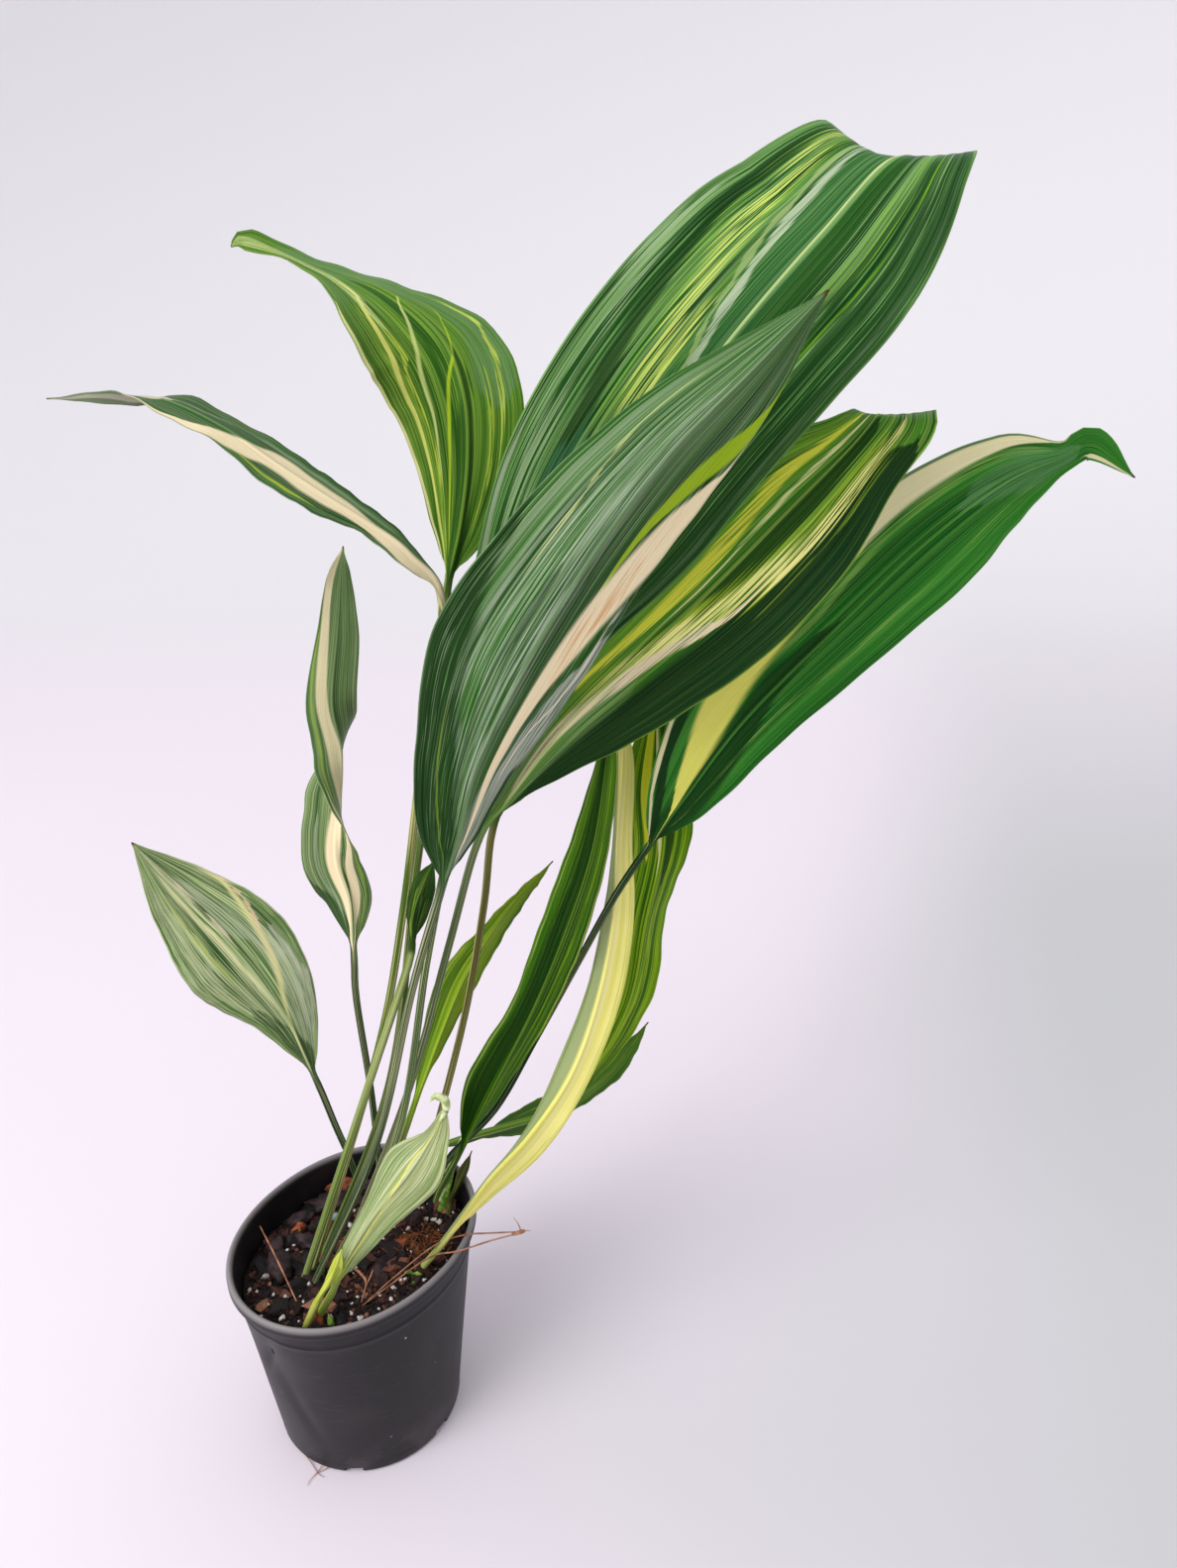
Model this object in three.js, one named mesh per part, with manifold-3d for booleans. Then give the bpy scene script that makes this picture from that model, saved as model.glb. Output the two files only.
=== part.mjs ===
// A variegated cast iron plant in a nursery pot. Millimetres, +Z up.
// The origin is the middle of the pot's base, on the surface that it stands on.
// +X is to the right and +Y away from someone who stands in front of it.
import * as THREE from "three";
import { mergeVertices } from "three/addons/utils/BufferGeometryUtils.js";
import Module from "manifold-3d";

const wasm = await Module();
wasm.setup();

// Pot: a trade one-gallon nursery pot, thin and a little out of round at its mouth
const POT_HEIGHT = 155;
const BASE_RADIUS = 64;
const BODY_TOP_RADIUS = 79.2;
const LIP_RADIUS = 82.5;
const LIP_HEIGHT = 9;
const WALL = 1.5;
const FLOOR = 2;
const POT_SIDES = 40;
const MOUTH_STRETCH = 0.085; // the mouth's long half is this share over its mean radius
const STRETCH_HEADING = 55; // degrees from +X to the mouth's long axis
const DENT = { heading: 236, height: 96, depth: 3, spreadDegrees: 16, spreadHeight: 26 };
const DRAIN_NOTCHES = 6;
const DRAIN_NOTCH = { width: 12, height: 5, depth: 14 };

// Potting mix, with the rhizome and the stem feet inside it
const SOIL_HEIGHT = 130;
const SOIL_SLOPE = { x: 0.03, y: -0.035 }; // it lies a little higher at the front right
const CLEARANCE = 0.35;
const FOOT_HEIGHT = 122;
const RHIZOME_RADIUS = 7;
const RHIZOME_HEIGHT = FOOT_HEIGHT - RHIZOME_RADIUS - 1.2;
const RHIZOME_RUNS = [
  [[-35, -24], [-20, -6], [2, 16], [24, 34], [46, 52]],
  [[-24, -12], [-20, -34], [-16, -56]],
  [[24, 34], [34, 8], [42, -16]],
  [[-12, 60], [-2, 40], [16, 28]],
  [[8, 58], [12, 42], [20, 30]],
  [[28, 66], [26, 50], [26, 34]],
];
const CHIP_COUNT = 22;

// Leaves: stem radius, blade thickness, and how many strips and rings a blade has
const STEM_RADIUS = 2.4;
const TIP_RIB_RADIUS = 0.35;
const BLADE_HALF_THICKNESS = 0.33;
const BLADE_CURL = 14; // degrees that each half of a blade bends between rib and margin
const RINGS_PER_STEP = 2;
const HOLE_SIDES = 8;

const GREEN = 0x2f6b33;
const GREY_GREEN = 0x6d8f72;
const STRIPED = 0x6f8f3c;
const LIME = 0xc9cf6a;
const SAGE = 0xa9bd8c;

// Each leaf is one piece: a stem that stands in the potting mix and runs on as the blade's rib.
// foot is where the stem stands; stem and rib are points on its middle line.
// A rib point is x, y, z, turn, fold, left, right: turn rolls the blade about its rib, 0 facing the
// front, fold raises both halves towards the blade's upper face, or drops them where it is negative,
// and left and right are the widths from the rib to the margins. A leaf that lies over to one side is
// sideways: its roll is then counted round its own direction as seen from the front.
const LEAVES = [
  { name: "leaf_top", colour: GREEN, wave: 1.5, foot: [-19, -10],
    stem: [[34, -4, 233], [61, -1, 366]],
    rib: [[77, 0, 438, -5, -8, 0, 0], [89, 2, 483, -5, -8, 14, 17], [112, 4, 532, -5, -8, 28, 33],
      [135, 5, 579, -5, -8, 43, 38], [167, 5, 632, -3, -8, 60, 54], [202, 4, 682, 3, -5, 65, 57],
      [239, 4, 728, 6, -5, 62, 58], [273, 8, 765, 6, -6, 53, 56], [308, 22, 799, 3, -6, 37, 41],
      [337, 56, 796, -5, -5, 25, 17], [356, 84, 771, -5, -5, 0, 0]] },
  { name: "leaf_front", colour: GREY_GREEN, wave: 0, foot: [-28, -24],
    stem: [[25, -27, 245], [56, -30, 363]],
    rib: [[76, -34, 428, -20, -25, 0, 0], [88, -37, 464, -22, -28, 22, 14],
      [101, -41, 510, -20, -28, 34, 31], [126, -43, 561, -16, -28, 50, 40],
      [162, -45, 620, -14, -33, 43, 43], [198, -46, 668, -12, -38, 31, 44],
      [235, -45, 705, -8, -40, 18, 26], [268, -42, 739, -5, -40, 0, 0]] },
  { name: "leaf_striped", colour: STRIPED, wave: 0, foot: [-13, -3],
    stem: [[40, 6, 257], [72, 12, 365]],
    rib: [[93, 18, 437, -20, -20, 0, 0], [112, 20, 465, -18, -18, 20, 8], [144, 22, 508, -14, -12, 33, 34],
      [186, 25, 549, -8, -5, 43, 44], [230, 29, 590, 0, 0, 49, 49], [272, 35, 633, 0, 0, 44, 46],
      [304, 42, 665, -3, 0, 20, 33], [320, 56, 680, 0, -5, 12, 33], [322, 72, 672, 5, -5, 10, 20],
      [324, 80, 652, 5, -5, 0, 0]] },
  { name: "leaf_right", colour: GREEN, wave: 0, sideways: true, foot: [46, 58],
    stem: [[56, 59, 160], [93, 60, 206], [123, 55, 269], [154, 52, 335], [177, 54, 381]],
    rib: [[197, 58, 413, -17, 0, 0, 0], [220, 60, 448, -17, 0, 30, 20], [258, 66, 500, -9, -3, 48, 29],
      [312, 76, 555, -3, -5, 45, 34], [365, 84, 607, -1, -8, 42, 38], [409, 90, 640, -10, -12, 30, 29],
      [441, 92, 654, -5, -8, 10, 10], [457, 90, 662, 0, -5, 9, 10], [483, 86, 643, 0, 0, 0, 0]] },
  { name: "leaf_arched", colour: STRIPED, wave: 1, sideways: true, foot: [-27, -3],
    stem: [[30, 2, 269], [56, 9, 420], [74, 13, 523]],
    rib: [[82, 14, 588, 0, -15, 0, 0], [91, 16, 626, -1, -15, 17, 17], [96, 18, 660, -8, -12, 29, 28],
      [95, 21, 692, -20, -10, 39, 32], [84, 28, 719, -40, -10, 46, 31], [56, 38, 741, -65, -8, 42, 16],
      [17, 50, 754, -70, -5, 8, 8], [-19, 60, 767, -20, -3, 6, 6], [-29, 62, 764, 0, 0, 0, 0]] },
  { name: "leaf_far_left", colour: STRIPED, wave: 0, sideways: true, foot: [-31, -12],
    stem: [[26, -8, 299], [48, 0, 397], [68, -4, 513]],
    rib: [[82, -4, 587, -60, -10, 3, 3], [67, -6, 614, -58, -10, 9, 7], [46, -6, 630, -60, -8, 8, 12],
      [25, -6, 644, -60, -8, 14, 14], [4, -4, 658, -60, -8, 16, 15], [-25, 0, 677, -65, -8, 12, 13],
      [-55, 6, 690, -70, -10, 11, 11], [-86, 13, 691, -150, -10, 4, 4], [-121, 20, 690, -170, 0, 0, 0]] },
  { name: "leaf_twisted", colour: SAGE, wave: 1.5, foot: [6, 60],
    stem: [[5, 60, 214], [0, 62, 296]],
    rib: [[1, 62, 329, 0, -30, 0, 0], [2, 62, 372, 0, -20, 18, 14], [-4, 62, 405, 5, 0, 23, 15],
      [1, 62, 443, 45, 30, 24, 18], [5, 62, 479, 120, 33, 23, 18], [2, 62, 511, 162, 10, 16, 16],
      [9, 62, 555, 175, 0, 13, 12], [14, 62, 588, 178, 0, 6, 8], [17, 62, 607, 180, 0, 0, 0]] },
  { name: "leaf_low_left", colour: SAGE, wave: 1.5, foot: [-10, 62],
    stem: [[-14, 60, 156], [-24, 61, 192]],
    rib: [[-33, 62, 226, -10, -20, 0, 0], [-47, 60, 277, -15, -12, 18, 20], [-62, 57, 315, -15, -5, 36, 34],
      [-82, 54, 351, -15, 0, 37, 39], [-104, 50, 384, -20, -5, 23, 25], [-129, 46, 424, -20, 0, 0, 0]] },
  { name: "leaf_young", colour: SAGE, wave: 1.5, foot: [-15, -54],
    stem: [[-14, -55, 134]],
    rib: [[-4, -56, 154, 20, -30, 0, 0], [10, -58, 188, 20, -25, 6, 9], [30, -60, 224, 20, -25, 10, 15],
      [52, -60, 255, 15, -20, 18, 20], [67, -58, 280, 5, -10, 6, 11], [76, -54, 301, 0, 0, 0, 0]] },
  { name: "leaf_strap", colour: GREEN, wave: 0, foot: [46, 46],
    stem: [[50, 49, 140]],
    rib: [[65, 50, 171, -10, -30, 0, 0], [92, 44, 235, -10, -20, 19, 11], [122, 38, 304, -12, -20, 15, 17],
      [145, 34, 367, -14, -20, 17, 17], [162, 34, 423, -14, -30, 15, 14], [170, 38, 475, -5, -40, 8, 10],
      [172, 42, 508, 0, -20, 0, 0]] },
  { name: "leaf_lime", colour: LIME, wave: 0, foot: [41, -17],
    stem: [[48, -15, 135]],
    rib: [[60, -12, 150, 10, -50, 0, 0], [91, 0, 192, 10, -50, 4, 15], [121, 12, 223, 10, -45, 7, 18],
      [149, 28, 262, 5, -40, 14, 16], [167, 45, 311, 0, -40, 11, 19], [177, 60, 363, -5, -45, 9, 19],
      [179, 68, 414, -5, -45, 4, 14], [182, 72, 468, 0, -30, 5, 8], [181, 76, 501, 0, 0, 0, 0]] },
  { name: "leaf_wavy", colour: STRIPED, wave: 2, foot: [36, 64],
    stem: [[44, 66, 163]],
    rib: [[135, 84, 186, -20, -15, 0, 0], [164, 90, 221, -15, -15, 14, 12],
      [189, 94, 275, -30, -20, 20, 25], [200, 96, 339, -30, -25, 28, 25], [209, 97, 393, -25, -10, 28, 23],
      [208, 98, 444, -10, 0, 29, 20], [204, 98, 512, 0, 0, 0, 0]] },
  { name: "leaf_slim_right", colour: GREEN, wave: 0, foot: [24, 64],
    stem: [[34, 71, 160]],
    rib: [[66, 80, 160, -60, -20, 0, 0], [106, 92, 168, -55, -15, 9, 15], [142, 102, 177, -45, -10, 15, 15],
      [178, 110, 205, -30, 0, 11, 13], [205, 114, 243, -20, 0, 0, 0]] },
  { name: "leaf_slim_middle", colour: GREEN, wave: 0, foot: [4, 40],
    stem: [],
    rib: [[32, 44, 205, -10, -40, 0, 0], [53, 48, 263, -10, -35, 11, 7], [74, 50, 316, -20, -25, 16, 14],
      [96, 52, 356, -30, -20, 8, 14], [117, 54, 385, -30, -10, 3, 8], [137, 56, 406, -20, 0, 0, 0]] },
  { name: "leaf_folded", colour: GREEN, wave: 0, foot: [-35, -20],
    stem: [[32, -20, 314], [46, -18, 354]],
    rib: [[55, -17, 382, 10, -25, 0, 0], [57, -17, 404, 10, -25, 5, 8], [64, -18, 426, 10, -25, 7, 8],
      [72, -19, 443, 10, 0, 0, 0]] },
  { name: "leaf_behind", colour: STRIPED, wave: 0, foot: [30, 46],
    stem: [[58, 38, 224], [79, 37, 308], [93, 40, 383]],
    rib: [[100, 44, 434, -10, -20, 0, 0], [115, 48, 464, -10, -15, 12, 12],
      [137, 50, 502, -10, -10, 15, 15], [164, 52, 533, -10, -5, 12, 12], [193, 54, 557, -10, 0, 0, 0]] },
  { name: "sheath_right", colour: GREEN, wave: 0, foot: [57, 36],
    stem: [],
    rib: [[60, 38, 141, 0, -50, 0, 0], [68, 40, 160, 0, -50, 5, 5], [77, 42, 184, 0, -20, 0, 0]] },
  { name: "sheath_front", colour: LIME, wave: 0, foot: [-25, -60],
    stem: [],
    rib: [[-12, -63, 154, 20, -50, 0, 0], [0, -64, 178, 20, -50, 6, 6], [8, -63, 199, 20, -30, 0, 0]] },
];

const TOWARDS_FRONT = new THREE.Vector3(0, -1, 0);

const radians = THREE.MathUtils.degToRad;

// Solids

// A closed surface through rings of points, each with as many points, with a fan over each end.
// turned(j) picks the other diagonal for the strip that starts at point j.
function loft(rings, turned = () => false) {
  const count = rings[0].length;
  const positions = rings.flat().flatMap((p) => [p.x, p.y, p.z]);
  const faces = [];
  const at = (i, j) => i * count + (j % count);
  for (let i = 0; i < rings.length - 1; i++) {
    for (let j = 0; j < count; j++) {
      const [a, b, c, d] = [at(i, j), at(i, j + 1), at(i + 1, j + 1), at(i + 1, j)];
      if (turned(j)) faces.push(a, b, d, b, c, d);
      else faces.push(a, b, c, a, c, d);
    }
  }
  for (const end of [0, rings.length - 1]) {
    const middle = new THREE.Vector3();
    rings[end].forEach((p) => middle.addScaledVector(p, 1 / count));
    const centre = positions.length / 3;
    positions.push(middle.x, middle.y, middle.z);
    for (let j = 0; j < count; j++) {
      if (end === 0) faces.push(centre, at(end, j + 1), at(end, j));
      else faces.push(centre, at(end, j), at(end, j + 1));
    }
  }
  const geometry = new THREE.BufferGeometry();
  geometry.setAttribute("position", new THREE.Float32BufferAttribute(positions, 3));
  geometry.setIndex(faces);
  return geometry;
}

function solidOf(geometry) {
  const bare = geometry.clone();
  bare.deleteAttribute("normal");
  bare.deleteAttribute("uv");
  const merged = mergeVertices(bare, 1e-4);
  return new wasm.Manifold(
    new wasm.Mesh({
      numProp: 3,
      vertProperties: merged.attributes.position.array,
      triVerts: new Uint32Array(merged.index.array),
    }),
  );
}

function geometryOf(solid) {
  const mesh = solid.getMesh();
  const geometry = new THREE.BufferGeometry();
  geometry.setAttribute("position", new THREE.Float32BufferAttribute(mesh.vertProperties, 3));
  geometry.setIndex(new THREE.BufferAttribute(mesh.triVerts, 1));
  return geometry;
}

// A round tube along points, for what lies in the soil and for the holes round the stems.
function tube(points, radius, sides, steps) {
  const curve = new THREE.CatmullRomCurve3(points, false, "catmullrom", 0.5);
  const side = new THREE.Vector3();
  const rings = [];
  for (let i = 0; i <= steps; i++) {
    const middle = curve.getPoint(i / steps);
    const along = curve.getTangent(i / steps);
    side.set(0, 0, 1);
    if (Math.abs(along.z) > 0.7) side.set(1, 0, 0);
    const across = side.clone().cross(along).normalize();
    const up = along.clone().cross(across);
    rings.push(
      Array.from({ length: sides }, (_, j) => {
        const angle = (2 * Math.PI * j) / sides;
        return middle
          .clone()
          .addScaledVector(across, radius * Math.cos(angle))
          .addScaledVector(up, radius * Math.sin(angle));
      }),
    );
  }
  return loft(rings);
}

// Pot

// How far the pot's mouth and dent move a point of the wall, from its mean radius there.
function potPoint(radius, height, angle) {
  const stretch =
    1 + MOUTH_STRETCH * (height / POT_HEIGHT) * Math.cos(2 * (angle - radians(STRETCH_HEADING)));
  const turn = THREE.MathUtils.euclideanModulo(angle - radians(DENT.heading) + Math.PI, 2 * Math.PI);
  const sideways = (turn - Math.PI) / radians(DENT.spreadDegrees);
  const upwards = (height - DENT.height) / DENT.spreadHeight;
  const inwards = DENT.depth * Math.exp(-(sideways ** 2) - upwards ** 2) * (radius / BODY_TOP_RADIUS);
  const reach = radius * stretch - inwards;
  return new THREE.Vector3(reach * Math.cos(angle), reach * Math.sin(angle), height);
}

function potRing(radius, height) {
  return Array.from({ length: POT_SIDES }, (_, j) =>
    potPoint(radius, height, (2 * Math.PI * j) / POT_SIDES),
  );
}

// The body's outer radius at a height below the lip.
function bodyRadius(height) {
  return THREE.MathUtils.lerp(BASE_RADIUS, BODY_TOP_RADIUS, height / (POT_HEIGHT - LIP_HEIGHT));
}

function pot() {
  const lipBottom = POT_HEIGHT - LIP_HEIGHT;
  const inner = (height) => bodyRadius(height) - WALL;
  const profile = [
    [BASE_RADIUS * 0.5, 0],
    [BASE_RADIUS - 1.5, 0],
    [bodyRadius(1.5), 1.5],
    [bodyRadius(60), 60],
    [bodyRadius(96), 96],
    [bodyRadius(122), 122],
    [bodyRadius(lipBottom), lipBottom],
    [LIP_RADIUS - 0.8, lipBottom + 0.4],
    [LIP_RADIUS, lipBottom + 2],
    [LIP_RADIUS, POT_HEIGHT - 2.2],
    [LIP_RADIUS - 0.9, POT_HEIGHT - 0.5],
    [LIP_RADIUS - 2, POT_HEIGHT],
    [LIP_RADIUS - 3.2, POT_HEIGHT - 0.6],
    [inner(lipBottom) + 0.5, POT_HEIGHT - 3],
    [inner(lipBottom), lipBottom - 1],
    [inner(122), 122],
    [inner(96), 96],
    [inner(60), 60],
    [inner(FLOOR), FLOOR],
    [BASE_RADIUS * 0.5, FLOOR],
  ];
  let body = solidOf(loft(profile.map(([radius, height]) => potRing(radius, height))));
  for (let k = 0; k < DRAIN_NOTCHES; k++) {
    const angle = (2 * Math.PI * (k + 0.5)) / DRAIN_NOTCHES;
    const notch = new THREE.BoxGeometry(DRAIN_NOTCH.depth, DRAIN_NOTCH.width, 2 * DRAIN_NOTCH.height)
      .translate(BASE_RADIUS, 0, 0)
      .rotateZ(angle);
    body = body.subtract(solidOf(notch));
  }
  return geometryOf(body);
}

// Potting mix

function soilHeight(x, y) {
  const lumps = 1.1 * Math.sin(x / 8 + 0.6) * Math.cos(y / 7) + 0.8 * Math.sin(x / 13 - y / 11);
  return SOIL_HEIGHT + SOIL_SLOPE.x * x + SOIL_SLOPE.y * y + lumps;
}

// A fixed draw between 0 and 1 for piece k.
function draw(k, salt) {
  const value = Math.sin(12.9898 * (k + 1) + 78.233 * salt) * 43758.5453;
  return value - Math.floor(value);
}

// A chip of bark that lies on the soil, half sunk.
function chip(k) {
  const heading = 2 * Math.PI * draw(k, 1);
  const distance = (bodyRadius(SOIL_HEIGHT) - 17) * Math.sqrt(draw(k, 2));
  const x = distance * Math.cos(heading);
  const y = distance * Math.sin(heading);
  const length = 6 + 8 * draw(k, 3);
  return new THREE.BoxGeometry(length, 0.6 * length, 2.5 + 2 * draw(k, 4))
    .rotateX(0.5 * (draw(k, 5) - 0.5))
    .rotateY(0.5 * (draw(k, 6) - 0.5))
    .rotateZ(Math.PI * draw(k, 7))
    .translate(x, y, soilHeight(x, y) + 0.6);
}

function soil() {
  const gap = WALL + CLEARANCE;
  const bottom = FLOOR + CLEARANCE;
  const sides = [bottom, 60, 96, 122].map((height) => potRing(bodyRadius(height) - gap, height));
  const edge = bodyRadius(SOIL_HEIGHT - 8) - gap;
  const surface = [1, 0.84, 0.66, 0.46, 0.24].map((share) => potRing(share * edge, SOIL_HEIGHT));
  for (const p of surface.flat()) p.z = soilHeight(p.x, p.y);
  let mix = solidOf(loft([...sides, ...surface], () => true));
  for (let k = 0; k < CHIP_COUNT; k++) mix = mix.add(solidOf(chip(k)));
  mix = mix.subtract(rhizomeSolid(RHIZOME_RADIUS + CLEARANCE));
  for (const leaf of LEAVES) mix = mix.subtract(solidOf(stemHole(leaf)));
  return geometryOf(mix);
}

function rhizomeSolid(radius) {
  const runs = RHIZOME_RUNS.map((run) => {
    const points = run.map(([x, y]) => new THREE.Vector3(x, y, RHIZOME_HEIGHT));
    for (const [end, next] of [[points[0], points[1]], [points.at(-1), points.at(-2)]]) {
      end.addScaledVector(end.clone().sub(next).normalize(), radius - RHIZOME_RADIUS);
    }
    return solidOf(tube(points, radius, 8, 2 * (points.length - 1)));
  });
  return runs.reduce((whole, run) => whole.add(run));
}

// Leaves

// The middle line from foot to tip, and with the same parameter turn and fold, and left and right.
function leafCurves(leaf) {
  const first = leaf.rib[0];
  const line = [
    [...leaf.foot, FOOT_HEIGHT],
    ...leaf.stem,
    ...leaf.rib.map((point) => point.slice(0, 3)),
  ];
  const stemPoints = leaf.stem.length + 1;
  const attitude = [
    ...Array(stemPoints).fill([first[3], first[4], 0]),
    ...leaf.rib.map((point) => [point[3], point[4], 0]),
  ];
  const widths = [
    ...Array(stemPoints).fill([0, 0, 0]),
    ...leaf.rib.map((point) => [point[5], point[6], 0]),
  ];
  const curve = (rows) =>
    new THREE.CatmullRomCurve3(rows.map((row) => new THREE.Vector3(...row)), false, "catmullrom", 0.5);
  return {
    middle: curve(line),
    attitude: curve(attitude),
    widths: curve(widths),
    bladeStart: stemPoints / (line.length - 1),
    steps: line.length - 1,
  };
}

// One cross-section: the upper face from left margin to right, then the lower face back.
function leafRing(leaf, curves, u, share) {
  const middle = curves.middle.getPoint(u);
  const along = curves.middle.getTangent(u);
  const angles = curves.attitude.getPoint(u);
  const level = (leaf.sideways
    ? along.clone().cross(TOWARDS_FRONT)
    : new THREE.Vector3(1, 0, 0).addScaledVector(along, -along.x)
  ).normalize();
  const across = level.applyAxisAngle(along, -radians(angles.x));
  const up = across.clone().cross(along);
  const ribRadius = THREE.MathUtils.lerp(STEM_RADIUS, TIP_RIB_RADIUS, Math.max(share, 0) ** 0.7);
  const widths = curves.widths.getPoint(u);
  const upper = [];
  const lower = [];
  for (let k = -3; k <= 3; k++) {
    const side = Math.sign(k);
    const reach = Math.max(side < 0 ? widths.x : widths.y, ribRadius);
    const inside = Math.min(0.9 * ribRadius, 0.5 * reach);
    const halfway = Math.max(0.5 * reach, 0.87 * ribRadius);
    const offset = [0, inside, halfway, reach][Math.abs(k)];
    const bend = radians(BLADE_CURL) * Math.min(1, reach / 20);
    const spread = THREE.MathUtils.smoothstep(reach, ribRadius, 3 * ribRadius);
    const fold = radians(angles.y) * spread;
    const angle = fold + (bend * offset) / reach;
    const x = (reach / bend) * (Math.sin(angle) - Math.sin(fold));
    const ripple = leaf.wave * (offset / reach) ** 2 * Math.sin(18 * share + 1.3 * side) * spread;
    const y = (reach / bend) * (Math.cos(fold) - Math.cos(angle)) + ripple;
    const thickness = Math.max(
      BLADE_HALF_THICKNESS,
      Math.sqrt(Math.max(0, ribRadius ** 2 - offset ** 2)),
    );
    const centre = middle.clone().addScaledVector(across, side * x).addScaledVector(up, y);
    const normal = up.clone()
      .multiplyScalar(Math.cos(angle))
      .addScaledVector(across, -side * Math.sin(angle));
    upper.push(centre.clone().addScaledVector(normal, thickness));
    lower.unshift(centre.clone().addScaledVector(normal, -thickness));
  }
  return [...upper, ...lower];
}

function leafBody(leaf) {
  const curves = leafCurves(leaf);
  const count = RINGS_PER_STEP * curves.steps;
  const rings = [];
  for (let i = 0; i <= count; i++) {
    const u = i / count;
    rings.push(leafRing(leaf, curves, u, (u - curves.bladeStart) / (1 - curves.bladeStart)));
  }
  const strips = rings[0].length / 2;
  return loft(rings, (j) => j >= strips);
}

// The hole that a stem stands in: the stem's own line, a little fatter, up through the surface.
function stemHole(leaf) {
  const curves = leafCurves(leaf);
  const points = [curves.middle.getPoint(0)];
  for (let i = 1; points.at(-1).z < SOIL_HEIGHT + 8; i++) {
    points.push(curves.middle.getPoint(i / (RINGS_PER_STEP * curves.steps)));
  }
  points[0].addScaledVector(curves.middle.getTangent(0), -3 * CLEARANCE);
  return tube(points, STEM_RADIUS + 2 * CLEARANCE, HOLE_SIDES, points.length - 1);
}

// The plant, as one group of named pieces

const plant = new THREE.Group();

function place(name, geometry, colour, roughness) {
  const mesh = new THREE.Mesh(
    geometry,
    new THREE.MeshStandardMaterial({ color: colour, roughness, metalness: 0 }),
  );
  mesh.name = name;
  plant.add(mesh);
}

place("pot", pot(), 0x34363a, 0.5);
place("soil", soil(), 0x2c211b, 1);
place("rhizome", geometryOf(rhizomeSolid(RHIZOME_RADIUS)), 0x8a6f4b, 0.9);
for (const leaf of LEAVES) place(leaf.name, leafBody(leaf), leaf.colour, 0.4);

export default plant;
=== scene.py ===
# %% [markdown]
# # A variegated cast iron plant in a nursery pot
#
# Sixteen striped leaves and two small sheaths lean out of a thin black pot of bark mix. The solids that
# come with them hold each leaf, the soil and the pot as simple forms. This lesson dresses them one by
# one: a fine wall for the pot, a bed of bark, crumbs and perlite, and blades whose stripes follow
# their veins.

import math

import bpy
import numpy as np
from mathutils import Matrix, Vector, noise


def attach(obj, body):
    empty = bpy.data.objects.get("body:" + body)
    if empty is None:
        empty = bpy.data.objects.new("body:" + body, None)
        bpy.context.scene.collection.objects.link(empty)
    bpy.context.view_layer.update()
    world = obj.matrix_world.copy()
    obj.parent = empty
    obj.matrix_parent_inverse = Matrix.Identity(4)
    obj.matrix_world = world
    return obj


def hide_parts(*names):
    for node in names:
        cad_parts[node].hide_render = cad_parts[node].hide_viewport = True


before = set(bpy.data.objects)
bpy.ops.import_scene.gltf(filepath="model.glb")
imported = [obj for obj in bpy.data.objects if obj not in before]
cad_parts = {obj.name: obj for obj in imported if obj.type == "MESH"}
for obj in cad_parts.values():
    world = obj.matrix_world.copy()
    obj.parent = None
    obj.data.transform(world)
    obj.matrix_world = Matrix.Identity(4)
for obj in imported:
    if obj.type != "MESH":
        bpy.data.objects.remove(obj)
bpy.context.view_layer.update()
MM = 0.001

# %% [markdown]
# ## Camera, floor and light
#
# The photo looks down on the plant from a little to its right, through a wide lens, so the leaves that
# come forward look large. Its place, tilt and lens were found from the ellipses of the pot's lip and
# foot. The light is a bright white room: a sky of even pale light, a broad sun and a lamp from the
# upper left in front, and a floor so pale that the shadows on it stay soft and grey.

# %% Set the camera
IMAGE_HEIGHT = 1583
FOCAL_PIXELS = 1098
SENSOR_HEIGHT = 36.0
CAMERA_PLACE = (0.160, -0.578, 0.716)
CAMERA_TILT = math.radians(68)

camera = bpy.data.objects.new("camera", bpy.data.cameras.new("camera"))
camera.location = CAMERA_PLACE
camera.rotation_euler = (CAMERA_TILT, 0, 0)
camera.data.sensor_fit = "VERTICAL"
camera.data.sensor_height = SENSOR_HEIGHT
camera.data.lens = SENSOR_HEIGHT * FOCAL_PIXELS / IMAGE_HEIGHT
bpy.context.scene.collection.objects.link(camera)
bpy.context.scene.camera = camera
bpy.context.scene.view_settings.view_transform = "Standard"
print("lens in mm:", round(camera.data.lens, 2))


# %% Helpers for colours and node trees
def srgb(red, green, blue):
    """A colour given as 0 to 255, as the linear values that a shader takes."""
    linear = []
    for value in (red, green, blue):
        share = value / 255
        linear.append(share / 12.92 if share <= 0.04045 else ((share + 0.055) / 1.055) ** 2.4)
    return (*linear, 1.0)


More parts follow.
